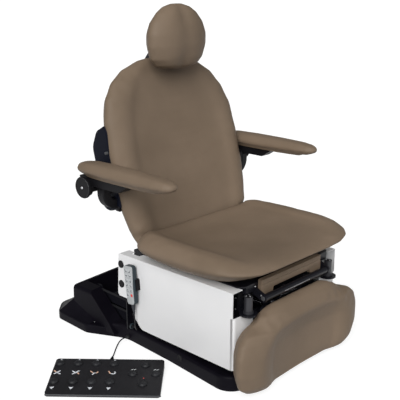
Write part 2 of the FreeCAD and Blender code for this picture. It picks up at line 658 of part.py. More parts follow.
def lift_carriage():
    y, z = CARRIAGE_LOWER.y, CARRIAGE_LOWER.z
    ty, tz = TILT_PIVOT.y, TILT_PIVOT.z
    cheek = side_plate([
        (y - 34, z - 20, 18), (y + 36, z - 20, 18), (CARRIAGE_UPPER.y + 34, CARRIAGE_UPPER.z + 16, 25),
        (MIDDLE_TUBE.y - 10, MIDDLE_TUBE.z - 34, 40), (ty + 34, REAR_TUBE.z - 32, 20),
        (ty + 34, CHEEK_TOP, 16),
        (FRONT_TUBE.y - 20, CHEEK_TOP, 12), (FRONT_TUBE.y - 20, FRONT_TUBE.z - 22, 14),
        (y - 60, FRONT_TUBE.z - 22, 50)], (BRACKET_IN, BRACKET_IN + BRACKET_THICK))
    lug = link(TILT_PIVOT, Vector(0, ty, CHEEK_TOP - LUG_RADIUS), LUG_RADIUS,
               (BRACKET_IN, BRACKET_IN + BRACKET_THICK))
    cheek = cheek.fuse(lug)
    span = (BRACKET_IN - 1, BRACKET_IN + BRACKET_THICK + 1)
    for pivot in (CARRIAGE_LOWER, CARRIAGE_UPPER, TILT_PIVOT):
        cheek = cheek.cut(disc_x(pivot, PIN_RADIUS, span))
    outer_face = BRACKET_IN + BRACKET_THICK
    front_y = PANEL_FRONT + 125
    front_bar = box((outer_face, PANEL_IN), (front_y, front_y + 30), (OUTRIGGER_TOP - 15, OUTRIGGER_TOP))
    front_pad = box((PANEL_IN - 5, PANEL_IN), (front_y - 10, front_y + 40),
                    (OUTRIGGER_TOP - 40, OUTRIGGER_TOP + 10))
    rear_y = CAP_AT - 14
    rear_bar = box((outer_face, PANEL_IN), (rear_y, rear_y + 6), (CAP_LEVELS[1] - 6, OUTRIGGER_TOP))
    rear_pad = box((PANEL_IN - 5, PANEL_IN), (rear_y, rear_y + 24), (CAP_LEVELS[1] - 15, CAP_LEVELS[0] + 15))
    side = fused([cheek, front_bar, front_pad, rear_bar, rear_pad])
    half = BRACKET_IN + BRACKET_THICK / 2
    tubes = [round_tube_x(c, TUBE_RADIUS, TUBE_WALL, half) for c in (FRONT_TUBE, MIDDLE_TUBE, REAR_TUBE)]
    tilt_fork = fork(TILT_BASE, Vector(TILT_BASE.x, MIDDLE_TUBE.y, MIDDLE_TUBE.z)) + [fork_pin(TILT_BASE)]
    strap_x = HANDSET_ROUTE[-1][0]
    strap_y = HANDSET_ROUTE[-1][1] + GLAND_LENGTH
    strap = box((strap_x - STRAP_WIDTH / 2, strap_x + STRAP_WIDTH / 2), (strap_y, strap_y + STRAP_THICK),
                (STRAP_LOW, CAP_LEVELS[1] + 10))
    tab = box((strap_x - STRAP_WIDTH / 2, strap_x + STRAP_WIDTH / 2), (strap_y, rear_y + 6),
              (CAP_LEVELS[1] + 2, CAP_LEVELS[1] + 10))
    return fused(both_sides(side) + tubes + tilt_fork + [strap, tab])


def carriage_pins():
    pins = [pivot_pin(p, BRACKET_IN, ARM_OUT) for p in (CARRIAGE_LOWER, CARRIAGE_UPPER)]
    pins.append(pivot_pin(TILT_PIVOT, BRACKET_IN, SEAT_RAIL_IN + BRACKET_THICK))
    return group([s for pin in pins for s in both_sides(pin)])


# Side panels: bent sheet with a front flange, a top flange and an S-shaped rear lower edge
def side_panel():
    out, inn = PANEL_HALF_SPAN, PANEL_IN
    band = floor_plate([
        (out - FRONT_FLANGE, PANEL_FRONT, 0), (out, PANEL_FRONT, PANEL_BEND), (out, PANEL_REAR + 10, 0),
        (inn, PANEL_REAR + 10, 0), (inn, PANEL_FRONT + SHEET, PANEL_BEND - SHEET),
        (out - FRONT_FLANGE, PANEL_FRONT + SHEET, 0)], (PANEL_LOW - 10, PANEL_TOP))
    profile = side_plate([
        (PANEL_FRONT - 1, PANEL_TOP, 0), (PANEL_REAR - 6, PANEL_TOP, 8), (PANEL_REAR + 3, PANEL_EAR_LOW, 20),
        (PANEL_REAR - 38, PANEL_EAR_LOW - 12, 45), (18, 128, 60), (-14, PANEL_LOW + 6, 30),
        (PANEL_FRONT - 1, PANEL_LOW, 0)], (out - FRONT_FLANGE - 1, out + 1))
    notch = box((out - FRONT_FLANGE - 1, out + 1), (PANEL_FRONT - 1, PANEL_FRONT + PANEL_BEND),
                (FLANGE_TOP, PANEL_TOP + 1))
    edge = box((inn, out), (PANEL_FRONT + SHEET, PANEL_FRONT + PANEL_BEND), (FLANGE_TOP, PANEL_TOP))
    top = box((out - TOP_FLANGE, out), (PANEL_FRONT + SHEET, PANEL_REAR - 12), (PANEL_TOP - SHEET, PANEL_TOP))
    slot = box((out - TOP_FLANGE - 1, out - TOP_FLANGE + NOTCH_WIDTH), (20, 20 + NOTCH_LENGTH),
               (PANEL_TOP - 5, PANEL_TOP + 1))
    return band.common(profile).cut(notch).fuse([edge, top.cut(slot)]).removeSplitter()


def panel_caps():
    caps = []
    for level in CAP_LEVELS:
        cap = disc_x(Vector(0, CAP_AT, level), CAP_RADIUS, (PANEL_HALF_SPAN, PANEL_HALF_SPAN + CAP_THICK))
        rim = [e for e in cap.Edges if abs(e.BoundBox.XMin - PANEL_HALF_SPAN - CAP_THICK) < 1e-3]
        caps += both_sides(cap.makeChamfer(CAP_THICK / 2, rim))
    return group(caps)


# Handset on the right panel, with its holder, cord and gland
def handset_outline(grow):
    top = HANDSET_WIDTH / 2 + grow
    tail = HANDSET_TAIL_WIDTH / 2 + grow
    high = HANDSET_LENGTH / 2 + grow
    return [(-tail, -high, 9), (tail, -high, 9), (top, -10, 60), (top, high, 12), (-top, high, 12),
            (-top, -10, 60)]


def leaned_handset(shape):
    shape.rotate(Vector(0, 0, 0), X_AXIS, -HANDSET_LEAN)
    shape.translate(HANDSET_CENTRE)
    return shape


def handset():
    out = HANDSET_IN + HANDSET_THICK
    body = side_plate(handset_outline(0), (-out, -HANDSET_IN))
    body = body.makeChamfer(4, [e for e in body.Edges if e.BoundBox.XLength < 1e-3])
    middle = Vector(-HANDSET_IN - HANDSET_THICK / 2, 0, -HANDSET_LENGTH / 2)
    relief = Part.makeCone(RELIEF_ROOT, CORD_RADIUS + 1, RELIEF_LENGTH, middle, Vector(0, 0, -1))
    return leaned_handset(fused([body, relief]))


def handset_holder():
    half = HANDSET_WIDTH / 2 + SOFT_GAP + HOLDER_WALL
    high = HOLDER_HEIGHT / 2
    depth = HANDSET_IN + HANDSET_THICK * 0.55
    block = side_plate([(-half, -high, 4), (half, -high, 4), (half, high, 4), (-half, high, 4)],
                       (-depth, -PANEL_HALF_SPAN))
    pocket = side_plate(handset_outline(SOFT_GAP), (-depth - 1, -HANDSET_IN + SOFT_GAP))
    return leaned_handset(block.cut(pocket))


def handset_cord():
    turn = Rotation(X_AXIS, -HANDSET_LEAN)
    low = -HANDSET_LENGTH / 2 - RELIEF_LENGTH
    middle = -HANDSET_IN - HANDSET_THICK / 2
    leads = [turn.multVec(Vector(middle, 0, z)) + HANDSET_CENTRE for z in (low, low - CORD_LEAD)]
    return cord([tuple(p) for p in leads] + list(HANDSET_ROUTE))


def handset_gland():
    start = Vector(*HANDSET_ROUTE[-1])
    along = Vector(0, 1, 0)
    nose = Part.makeCone(CORD_RADIUS + 2, GLAND_RADIUS, GLAND_LENGTH / 2, start, along)
    nut = Part.makeCylinder(GLAND_RADIUS + 1, GLAND_LENGTH / 2, start + along * (GLAND_LENGTH / 2), along)
    return fused([nose, nut])


# Foot control: tray, wedge cover, sprung buttons, cord and its two reliefs
def pedal_placed(shape):
    shape.rotate(Vector(0, 0, 0), Vector(0, 0, 1), PEDAL_TURN)
    shape.translate(PEDAL_CENTRE)
    return shape


def pedal_wedge(inset, low, drop):
    w, d = PEDAL_WIDTH / 2 - inset, PEDAL_DEPTH / 2 - inset
    r = PEDAL_CORNER - inset
    block = floor_plate([(-w, -d, r), (w, -d, r), (w, d, r), (-w, d, r)], (low, PEDAL_REAR_HEIGHT * 2))
    far = PEDAL_WIDTH
    level = pedal_level(0) - drop
    half = PEDAL_DEPTH
    slope = side_plate([
        (-half, level - PEDAL_SLOPE * half, 0), (half, level + PEDAL_SLOPE * half, 0),
        (half, PEDAL_REAR_HEIGHT * 3, 0), (-half, PEDAL_REAR_HEIGHT * 3, 0)], (-far, far))
    return block.cut(slope)


def pedal_level(y):
    return (PEDAL_FRONT_HEIGHT + PEDAL_REAR_HEIGHT) / 2 + PEDAL_SLOPE * y


def button_places():
    rows = [(x, y) for y in (ROW_REAR, ROW_FRONT) for x in ROW_COLUMNS]
    return rows + list(CLUSTER)


def pedal_normal():
    return Vector(0, -PEDAL_SLOPE, 1).normalize()


def button_shape(place, radius, low, high):
    x, y = place
    normal = pedal_normal()
    return Part.makeCylinder(radius, high - low, Vector(x, y, pedal_level(y)) + normal * low, normal)


def pedal_cover():
    shell = pedal_wedge(0, PEDAL_FOOT_HEIGHT, 0).cut(pedal_wedge(PEDAL_WALL, 0, PEDAL_WALL))
    for place in button_places():
        shell = shell.cut(button_shape(place, BUTTON_RADIUS + BUTTON_PLAY, -BUTTON_DEPTH * 2, BUTTON_RISE))
    return pedal_placed(shell)


def pedal_tray():
    w = PEDAL_WIDTH / 2 - PEDAL_WALL
    d = PEDAL_DEPTH / 2 - PEDAL_WALL
    r = PEDAL_CORNER - PEDAL_WALL
    low = PEDAL_FOOT_HEIGHT
    tray = floor_plate([(-w, -d, r), (w, -d, r), (w, d, r), (-w, d, r)], (low, low + PEDAL_WALL / 2))
    feet = []
    for x in (-1, 1):
        for y in (-1, 1):
            centre = Vector(x * (w - PEDAL_FOOT_RADIUS * 2), y * (d - PEDAL_FOOT_RADIUS * 2), 0)
            feet.append(disc_z(centre, PEDAL_FOOT_RADIUS, (0, low)))
    return pedal_placed(fused([tray] + feet))


def foot_button(place):
    body = button_shape(place, BUTTON_RADIUS, -BUTTON_DEPTH, BUTTON_RISE)
    top = max(body.Edges, key=lambda e: e.BoundBox.Center.z if len(e.Vertexes) == 1 else -1)
    return pedal_placed(body.makeChamfer(BUTTON_EDGE, [top]))


def pedal_point(x, y, z):
    return Rotation(Vector(0, 0, 1), PEDAL_TURN).multVec(Vector(x, y, z)) + PEDAL_CENTRE


def foot_cord():
    edge = PEDAL_DEPTH / 2 + FOOT_RELIEF
    leads = [pedal_point(0, y, FOOT_RELIEF_HEIGHT) for y in (edge, edge + CORD_LEAD)]
    return cord([tuple(p) for p in leads] + list(FOOT_ROUTE) + [tuple(FOOT_GLAND)])


def foot_cord_reliefs():
    root = pedal_point(0, PEDAL_DEPTH / 2, FOOT_RELIEF_HEIGHT)
    tip = pedal_point(0, PEDAL_DEPTH / 2 + FOOT_RELIEF, FOOT_RELIEF_HEIGHT)
    pedal_relief = Part.makeCone(RELIEF_ROOT, CORD_RADIUS + 1, FOOT_RELIEF, root, tip - root)
    nose = Part.makeCone(CORD_RADIUS + 1, GLAND_RADIUS, FOOT_GLAND_NOSE, FOOT_GLAND, X_AXIS)
    sleeve = disc_x(FOOT_GLAND, GLAND_RADIUS,
                    (FOOT_GLAND.x + FOOT_GLAND_NOSE, FOOT_GLAND.x + FOOT_GLAND_LENGTH))
    return group([pedal_relief, fused([nose, sleeve])])


# Seat frame with pan, rails, hinge lugs and actuator forks
def seat_frame():
    rail_out = SEAT_RAIL_IN + SEAT_RAIL_WIDTH
    rail = box((SEAT_RAIL_IN, rail_out), (PAN_FRONT, TILT_PIVOT.y + LUG_RADIUS), (SEAT_RAIL_LOW, PAN_LOW))
    lug = link(TILT_PIVOT, Vector(0, TILT_PIVOT.y, SEAT_RAIL_LOW), LUG_RADIUS,
               (SEAT_RAIL_IN, SEAT_RAIL_IN + BRACKET_THICK))
    hole = disc_x(TILT_PIVOT, PIN_RADIUS + PLAY, (SEAT_RAIL_IN - 1, SEAT_RAIL_IN + BRACKET_THICK + 1))
    back_lug = side_plate([
        (BACK_PIVOT.y - 34, PAN_LOW, 0), (PAN_REAR, PAN_LOW, 0),
        (BACK_PIVOT.y + LUG_RADIUS, BACK_PIVOT.z + LUG_RADIUS - 2, 16),
        (BACK_PIVOT.y - LUG_RADIUS, BACK_PIVOT.z + LUG_RADIUS - 2, 16)],
        (HINGE_X + RUN_GAP, HINGE_X + RUN_GAP + HINGE_LUG_THICK))
    back_hole = disc_x(BACK_PIVOT, PIN_RADIUS, (HINGE_X, HINGE_X + HINGE_LUG_THICK * 2))
    lug_x = LEG_TUBE_HALF + RUN_GAP
    leg_lug = link(LEG_PIVOT, Vector(0, PAN_FRONT + 24, SEAT_RAIL_LOW + 8), TONGUE_RADIUS,
                   (lug_x, lug_x + LEG_LUG_THICK))
    leg_hole = disc_x(LEG_PIVOT, FORK_PIN_RADIUS, (lug_x - 1, lug_x + LEG_LUG_THICK + 1))
    disc_low = POST_DISC_TOP - POST_DISC_THICK
    disc = disc_z(Vector(POST_X, POST_Y, 0), POST_DISC_RADIUS, (disc_low, POST_DISC_TOP))
    shelf = box((POST_X - 22, POST_X + 2), (POST_Y, PAN_FRONT + 40), (disc_low, POST_DISC_TOP))
    hanger = box((POST_X - 22, POST_X + 2), (PAN_FRONT + 34, PAN_FRONT + 40), (disc_low, SEAT_RAIL_LOW))
    side = fused([rail, lug, back_lug.cut(back_hole), leg_lug.cut(leg_hole), disc, shelf, hanger]).cut(hole)
    w = PAN_HALF_WIDTH
    t = PAN_TAIL_HALF_WIDTH
    pan = floor_plate([
        (-w, PAN_FRONT, 30), (w, PAN_FRONT, 30), (w, PAN_SHOULDER, 8), (t, PAN_SHOULDER, 8), (t, PAN_REAR, 8),
        (-t, PAN_REAR, 8), (-t, PAN_SHOULDER, 8), (-w, PAN_SHOULDER, 8)], (PAN_LOW, PAN_TOP))
    through = (PAN_LOW - 1, PAN_TOP + 1)
    slot = box((-LEVER_SLOT / 2, LEVER_SLOT / 2), (SEAT_REAR, PAN_REAR + 1), through)
    arm_slot = box((BACK_ARM_X - RUN_GAP, BACK_ARM_X + BACK_ARM_THICK + RUN_GAP),
                   (BACK_PIVOT.y - HINGE_TUBE_RADIUS, PAN_REAR + 1), through)
    pan = pan.cut([slot] + both_sides(arm_slot))
    across = (-rail_out, rail_out)
    members = [box(across, y, (SEAT_RAIL_LOW, PAN_LOW)) for y in (
        (PAN_FRONT, PAN_FRONT + 38), (TILT_TIP.y - 16, BACK_BASE.y + 12), (LEG_BASE.y - 20, LEG_BASE.y + 20))]
    hang = SEAT_RAIL_LOW + 8
    forks = fork(TILT_TIP, Vector(TILT_TIP.x, TILT_TIP.y, hang))
    for base in (BACK_BASE, LEG_BASE):
        forks += fork(base, Vector(base.x, base.y, hang)) + [fork_pin(base)]
    tunnel = box((-ACTUATOR_TUNNEL / 2, ACTUATOR_TUNNEL), (BACK_BASE.y + 14, PAN_REAR),
                 (SEAT_RAIL_LOW - 1, PAN_LOW))
    members = [m.cut(tunnel) for m in members]
    return fused(both_sides(side) + [pan] + members + forks)


def seat_hinge_pins():
    back_pin = disc_x(BACK_PIVOT, PIN_RADIUS,
                      (HINGE_X - HINGE_PIN_LENGTH, HINGE_X + RUN_GAP + HINGE_LUG_THICK + 2))
    lug_x = LEG_TUBE_HALF + RUN_GAP
    leg_pin = disc_x(LEG_PIVOT, FORK_PIN_RADIUS,
                     (LEG_TUBE_HALF - HINGE_PIN_LENGTH, lug_x + LEG_LUG_THICK + 2))
    return group(both_sides(back_pin) + both_sides(leg_pin))


def accessory_posts():
    centre = Vector(POST_X, POST_Y, 0)
    post = disc_z(centre, POST_RADIUS, (POST_DISC_TOP, POST_TOP))
    collar = disc_z(centre, POST_RADIUS + 3, (POST_DISC_TOP, POST_DISC_TOP + 8))
    recess = disc_z(centre, POST_RADIUS - 5, (POST_TOP - 6, POST_TOP + 1))
    return group(both_sides(fused([post, collar]).cut(recess)))


def front_trim_pad():
    w = TRIM_HALF_WIDTH
    high = TRIM_HIGH
    return wall_plate([
        (-w, high, 6), (-w, TRIM_LOW, 4), (-w + TRIM_LEG, TRIM_LOW, 4), (-w + TRIM_LEG, TRIM_NOTCH, 4),
        (w - TRIM_LEG, TRIM_NOTCH, 4), (w - TRIM_LEG, TRIM_LOW, 4), (w, TRIM_LOW, 4), (w, high, 6)],
        (TRIM_FRONT, PAN_FRONT))


def seat_cushion():
    rows = [
        (-552, 64, 186, 14, 8, 120, 10, 80, 10.5, 11),
        (-545, 58, 240, 22, 17, 165, 23, 115, 23.5, 24),
        (-526, 51, 292, 40, 31, 222, 38, 168, 36, 33),
        (-490, 35, 330, 56, 50, 272, 63, 215, 57, 48),
        (-440, 14, 350, 62, 76, 300, 92, 240, 81, 66),
        (-380, 2, 357, 64, 89, 310, 106, 248, 92, 72),
        (-250, 0, 361, 64, 92, 316, 109, 252, 94, 72),
        (-120, 0, 359, 64, 93, 314, 110, 251, 97, 81),
        (-72, 2, 352, 62, 91, 308, 108, 247, 100, 92),
        (-44, 5, 338, 60, 86, 294, 104, 238, 101, 98),
        (SEAT_REAR, 12, 314, 54, 74, 270, 95, 216, 95.5, 96)]
    rings = []
    for y, lift, half, tuck, edge, crest_at, crest, valley_at, valley, centre in rows:
        base = PAN_TOP + lift
        place = (lambda a, b, y=y, base=base: Vector(a, y, base + b))
        rings.append(cushion_ring(place, half, tuck, edge, crest_at, crest, valley_at, valley, centre))
    return cushion(rings, box((-500, 500), (-700, 200), (PAN_TOP - 100, PAN_TOP)))


# Back: frame, moulded shell, cushion; built upright about the hinge and leaned back
def leaned_back(shape):
    shape.rotate(Vector(0, 0, 0), X_AXIS, -BACK_LEAN)
    shape.translate(BACK_PIVOT)
    return shape


def back_frame():
    rear = BACK_REAR + BACK_PLATE_THICK
    w, low, high = BACK_PLATE_HALF_WIDTH, BACK_PLATE_LOW, BACK_PLATE_HIGH
    plate = wall_plate([(-w, low, 30), (w, low, 30), (w, high, 40), (-w, high, 40)], (BACK_REAR, rear))
    hub = HINGE_TUBE_RADIUS - 1
    arm = side_plate([
        (-hub, -hub, 14), (rear + 24, -hub, 24), (rear + 24, low + 90, 6), (rear, low + 90, 0),
        (rear, hub + 4, 5),
        (-hub, hub, 14)], (BACK_ARM_X, BACK_ARM_X + BACK_ARM_THICK))
    tube = ring_x(Vector(0, 0, 0), HINGE_TUBE_RADIUS, PIN_RADIUS + PLAY, (-HINGE_X, HINGE_X))
    bore = disc_x(Vector(0, 0, 0), PIN_RADIUS + PLAY, (-HINGE_X - 1, HINGE_X + 1))
    slot_front = MAST_SETBACK - SOFT_GAP
    slot_rear = MAST_SETBACK + MAST_THICK + SOFT_GAP
    guide = box((-MAST_HALF_WIDTH - GUIDE_WALL, MAST_HALF_WIDTH + GUIDE_WALL), (rear, slot_rear + GUIDE_WALL),
                (GUIDE_LOW, GUIDE_HIGH))
    slot = box((-MAST_HALF_WIDTH - SOFT_GAP, MAST_HALF_WIDTH + SOFT_GAP), (slot_front, slot_rear),
               (GUIDE_LOW - 1, GUIDE_HIGH + 1))
    frame = leaned_back(fused([plate, guide.cut(slot), tube] + [a.cut(bore) for a in both_sides(arm)]))
    lever = fork(BACK_TIP, BACK_PIVOT)
    hinge_bore = disc_x(BACK_PIVOT, PIN_RADIUS + PLAY, (-HINGE_X, HINGE_X))
    return fused([frame] + [cheek.cut(hinge_bore) for cheek in lever])


def shell_outline(inset):
    front = inset - SHELL_REACH
    return [(front, 152 + inset, 16), (56 - inset, 146 + inset, 40), (70 - inset, 225, 60),
            (57 - inset, 330, 200), (57 - inset, 398 - inset / 2, 60), (16 - inset, 452 - inset, 40),
            (8 - SHELL_REACH, 468 - inset, 10), (front, 440, 20)]


def back_cover():
    half = SHELL_HALF_WIDTH
    shell = side_plate(shell_outline(0), (-half, half))
    ends = [e for e in shell.Edges if e.BoundBox.XLength < 1e-3 and e.BoundBox.YMax > 30]
    shell = shell.makeFillet(12, ends)
    inner = half - SHELL_WALL
    hollow = side_plate(shell_outline(SHELL_WALL), (-inner, inner))
    front = box((-inner, inner), (-80, BACK_REAR), (0, 600))
    reach = MAST_SETBACK + MAST_THICK
    mast = box((-MAST_HALF_WIDTH - 2, MAST_HALF_WIDTH + 2), (BACK_REAR - 1, reach + 2), (380, 480))
    plate = BACK_PLATE_HALF_WIDTH + 2
    foot = box((-plate, plate), (BACK_REAR - 1, BACK_REAR + BACK_PLATE_THICK + 28), (100, 200))
    return leaned_back(shell.cut(hollow).cut(front).cut(mast).cut(foot))


def back_cushion():
    rows = [
        (-20, 44, 262, 10, 9, 215, 13, 170, 14, 14.5),
        (-8, 40, 284, 14, 20, 228, 29, 180, 30, 30.5),
        (16, 40, 295, 18, 31, 240, 45, 192, 42, 40),
        (34, 3, 298, 42, 76, 246, 88, 194, 83, 78),
        (62, 0, 310, 44, 88, 258, 100, 205, 89, 80),
        (140, 0, 328, 45, 86, 268, 101, 216, 90, 77),
        (240, 0, 336, 45, 88, 274, 101, 222, 89, 75),
        (356, 0, 337, 45, 87, 274, 100, 222, 88, 75),
        (470, 0, 330, 45, 83, 262, 96, 210, 86, 76),
        (550, 0, 305, 44, 76, 232, 90, 182, 83, 77),
        (612, 4, 262, 42, 66, 188, 80, 142, 76, 74),
        (656, 14, 202, 38, 50, 134, 66, 98, 64, 62),
        (684, 30, 124, 30, 28, 76, 44, 52, 44.5, 45),
        (692, 38, 76, 22, 13, 44, 26, 30, 26.5, 27)]
    spread = BACK_HALF_WIDTH / max(row[2] for row in rows)
    rings = []
    for up, inset, half, tuck, edge, crest_at, crest, valley_at, valley, centre in rows:
        place = (lambda a, b, up=up, inset=inset: Vector(a * spread, BACK_REAR - inset - b, up))
        rings.append(cushion_ring(place, half, tuck, edge, crest_at, crest, valley_at, valley, centre))
    return leaned_back(cushion(rings, box((-500, 500), (BACK_REAR, BACK_REAR + 100), (0, 800))))


# Headrest: mast in the back's guide, hinged plate, egg-shaped cushion
def headrest_mast():
    front, rear = MAST_SETBACK, MAST_SETBACK + MAST_THICK
    pivot = HEAD_PIVOT - BACK_PIVOT
    pivot = Rotation(X_AXIS, BACK_LEAN).multVec(pivot)
    bar = side_plate([
        (front, MAST_LOW, 2), (rear, MAST_LOW, 2), (rear, MAST_BEND, 20), (pivot.y, pivot.z + 13, 6),
        (pivot.y, pivot.z - 13, 6), (front, MAST_BEND - 24, 20)], (-MAST_HALF_WIDTH, MAST_HALF_WIDTH))
    knuckle = disc_x(pivot, 13, (-MAST_HALF_WIDTH, MAST_HALF_WIDTH))
    reach = MAST_HALF_WIDTH + RUN_GAP + HEAD_LUG_THICK
    pin = disc_x(pivot, HEAD_PIN_RADIUS, (-reach, reach))
    return leaned_back(fused([bar, knuckle, pin]))


def headrest_plate():
    w = 62
    low, high = HEAD_PIVOT.z - 62, HEAD_PIVOT.z + 58
    plate = wall_plate([(-w, low, 20), (w, low, 20), (w, high, 20), (-w, high, 20)],
                       (HEAD_REAR, HEAD_REAR + HEAD_PLATE_THICK))
    near = MAST_HALF_WIDTH + RUN_GAP
    lug = link(HEAD_PIVOT, Vector(0, HEAD_REAR + 16, HEAD_PIVOT.z), 13, (near, near + HEAD_LUG_THICK))
    lug = lug.cut(disc_x(HEAD_PIVOT, HEAD_PIN_RADIUS + PLAY, (near - 1, near + HEAD_LUG_THICK + 1)))
    return fused([plate] + both_sides(lug))


def headrest_cushion():
    rows = [
        (1058, 16, 74, 18, 32, 44, 54, 16, 56, 55),
        (1068, 8, 100, 22, 48, 60, 74, 20, 76, 74),
        (1094, 2, 122, 24, 62, 74, 90, 22, 93, 90),
        (1143, 0, 135, 25, 70, 80, 99, 24, 102, 98),
        (1188, 0, 136, 25, 70, 80, 99, 24, 102, 98),
        (1233, 3, 121, 25, 63, 72, 90, 22, 94, 91),
        (1268, 10, 94, 24, 50, 57, 74, 19, 77, 75),
        (1289, 20, 66, 20, 32, 38, 50, 14, 52, 51),
        (1300, 30, 28, 10, 14, 16, 23, 7, 24, 25)]
    rings = []
    for z, inset, half, tuck, edge, crest_at, crest, valley_at, valley, centre in rows:
        place = (lambda a, b, z=z, inset=inset: Vector(a, HEAD_REAR - inset - b, z))
        rings.append(cushion_ring(place, half, tuck, edge, crest_at, crest, valley_at, valley, centre))
    return cushion(rings, box((-200, 200), (HEAD_REAR, HEAD_REAR + 100), (1000, 1400)))


# Arms: curved supports on the back, brackets that flip up, pads and clamp knobs
def arm_support():
    wall = SHELL_HALF_WIDTH
    inner = ELBOW_OUT - ELBOW_THICK
    bend = ELBOW_OUT - wall
    low = ELBOW_TOP - 25 - bend
    elbow = wall_plate([
        (wall, low, 0), (ELBOW_OUT, low, bend - 0.5), (ELBOW_OUT, ELBOW_TOP, 3), (inner, ELBOW_TOP, 3),
        (inner, low + ELBOW_THICK, bend - ELBOW_THICK - 1), (wall, low + ELBOW_THICK, 0)],
        (ELBOW_FRONT, ELBOW_REAR))
    flat = [(e, e.BoundBox) for e in elbow.Edges if e.BoundBox.YLength < 1e-3]
    elbow = elbow.makeChamfer(4, [e for e, b in flat if b.XMax > inner + 2 and b.XMin > wall - 1
                                 and b.ZMax < ELBOW_TOP - 1])
    carrier = side_plate([
        (ELBOW_FRONT + 2, ARM_PIVOT.z - 32, 8), (ARM_PIVOT.y + 14, ARM_PIVOT.z - 18, 14),
        (ARM_PIVOT.y + 14, ARM_PIVOT.z + 20, 12),
        (ELBOW_FRONT + 2, ARM_PIVOT.z + 20, 10)], (inner - CARRIER_THICK, inner))
    tip = ARM_BAR_IN + ARM_BAR_WIDTH + RUN_GAP + KNOB_THICK - 3
    pin = disc_x(ARM_PIVOT, PIN_RADIUS, (inner - 1, tip))
    bolt = disc_x(Vector(0, ELBOW_FRONT + 12, low + 9), 9, (wall, wall + 14))
    return fused([elbow, carrier, pin, bolt])


def arm_bracket():
    outer = ARM_BAR_IN + ARM_BAR_WIDTH
    bar = side_plate([
        (ARM_BAR_FRONT, ARM_BAR_TOP, 2), (ARM_BAR_FRONT + 47, ARM_BAR_LOW, 8),
        (ARM_BAR_REAR - 10, ARM_BAR_LOW, 14),
        (ARM_BAR_REAR, ARM_BAR_TOP, 2)], (ARM_BAR_IN, outer))
    boss = disc_x(ARM_PIVOT, ARM_BOSS_RADIUS, (ARM_BAR_IN, outer))
    bore = disc_x(ARM_PIVOT, PIN_RADIUS + PLAY, (ARM_BAR_IN - 1, outer + 1))
    return fused([bar, boss]).cut(bore)


def arm_pad():
    rows = [
        (-300, 22, 12, 6, 8, 7, 12, 4, 13, 14),
        (-292, 14, 22, 9, 17, 14, 26, 8, 27, 28),
        (-272, 7, 32, 12, 27, 20, 39, 10, 41, 42),
        (-230, 3, 40, 16, 34, 25, 47, 12, 49, 50),
        (-120, 0, 46, 18, 38, 29, 52, 14, 54, 55),
        (20, 0, 48, 18, 39, 30, 53, 14, 55, 56),
        (120, 2, 45, 18, 37, 28, 50, 14, 52, 53),
        (165, 6, 36, 16, 28, 22, 41, 11, 43, 44),
        (182, 13, 25, 11, 17, 15, 27, 8, 28, 29),
        (189, 20, 13, 6, 9, 8, 14, 5, 15, 16)]
    rings = []
    for y, lift, half, tuck, edge, crest_at, crest, valley_at, valley, centre in rows:
        base = ARM_BAR_TOP + lift
        place = (lambda a, b, y=y, base=base: Vector(PAD_X + a, y, base + b))
        rings.append(cushion_ring(place, half, tuck, edge, crest_at, crest, valley_at, valley, centre))
    return cushion(rings, box((0, 800), (-500, 500), (ARM_BAR_TOP - 100, ARM_BAR_TOP)))


def arm_knob():
    start = ARM_BAR_IN + ARM_BAR_WIDTH + RUN_GAP
    end = start + KNOB_THICK
    neck = disc_x(ARM_PIVOT, KNOB_NECK_RADIUS, (start, end))
    cap = disc_x(ARM_PIVOT, KNOB_RADIUS, (end - KNOB_CAP, end))
    cap = cap.makeChamfer(3, [e for e in cap.Edges if len(e.Vertexes) == 1 and e.BoundBox.XLength < 1e-3])
    bore = disc_x(ARM_PIVOT, PIN_RADIUS + PLAY, (start - 1, end - 3 + PLAY * 6))
    return fused([neck, cap]).cut(bore)


# Leg section: hinged frame and a cushion with shoulders and a dished middle
def leg_frame():
    tube = ring_x(LEG_PIVOT, LEG_TUBE_RADIUS, FORK_PIN_RADIUS + PLAY, (-LEG_TUBE_HALF, LEG_TUBE_HALF))
    rear = LEG_REAR + LEG_PLATE_THICK
    w, low, high = LEG_PLATE_HALF_WIDTH, LEG_PLATE_LOW, LEG_PLATE_HIGH
    plate = wall_plate([(-w, low, 30), (w, low, 30), (w, high, 20), (-w, high, 20)], (LEG_REAR, rear))
    y, z = LEG_PIVOT.y, LEG_PIVOT.z
    arm = side_plate([
        (y - 11, z - 11, 10), (y - 11, z + 11, 10), (y + 15, z + 11, 11), (rear + 12, z - 25, 15),
        (rear + 12, z - 85, 8),
        (rear, z - 85, 0), (rear, z - 24, 3)], (LEG_ARM_X, LEG_ARM_X + LEG_ARM_THICK))
    bore = disc_x(LEG_PIVOT, FORK_PIN_RADIUS + PLAY, (-LEG_TUBE_HALF - 1, LEG_TUBE_HALF + 1))
    lever = fork(LEG_TIP, Vector(0, rear + TONGUE_RADIUS - LEG_PLATE_THICK + 1, LEG_TIP.z))
    notch = box((LEG_TIP.x - FORK_HALF_GAP, LEG_TIP.x + FORK_HALF_GAP), (LEG_REAR - 1, rear + 1),
                (LEG_TIP.z - TONGUE_RADIUS - RUN_GAP, high + 1))
    return fused([tube, plate.cut(notch)] + [a.cut(bore) for a in both_sides(arm)] + lever)


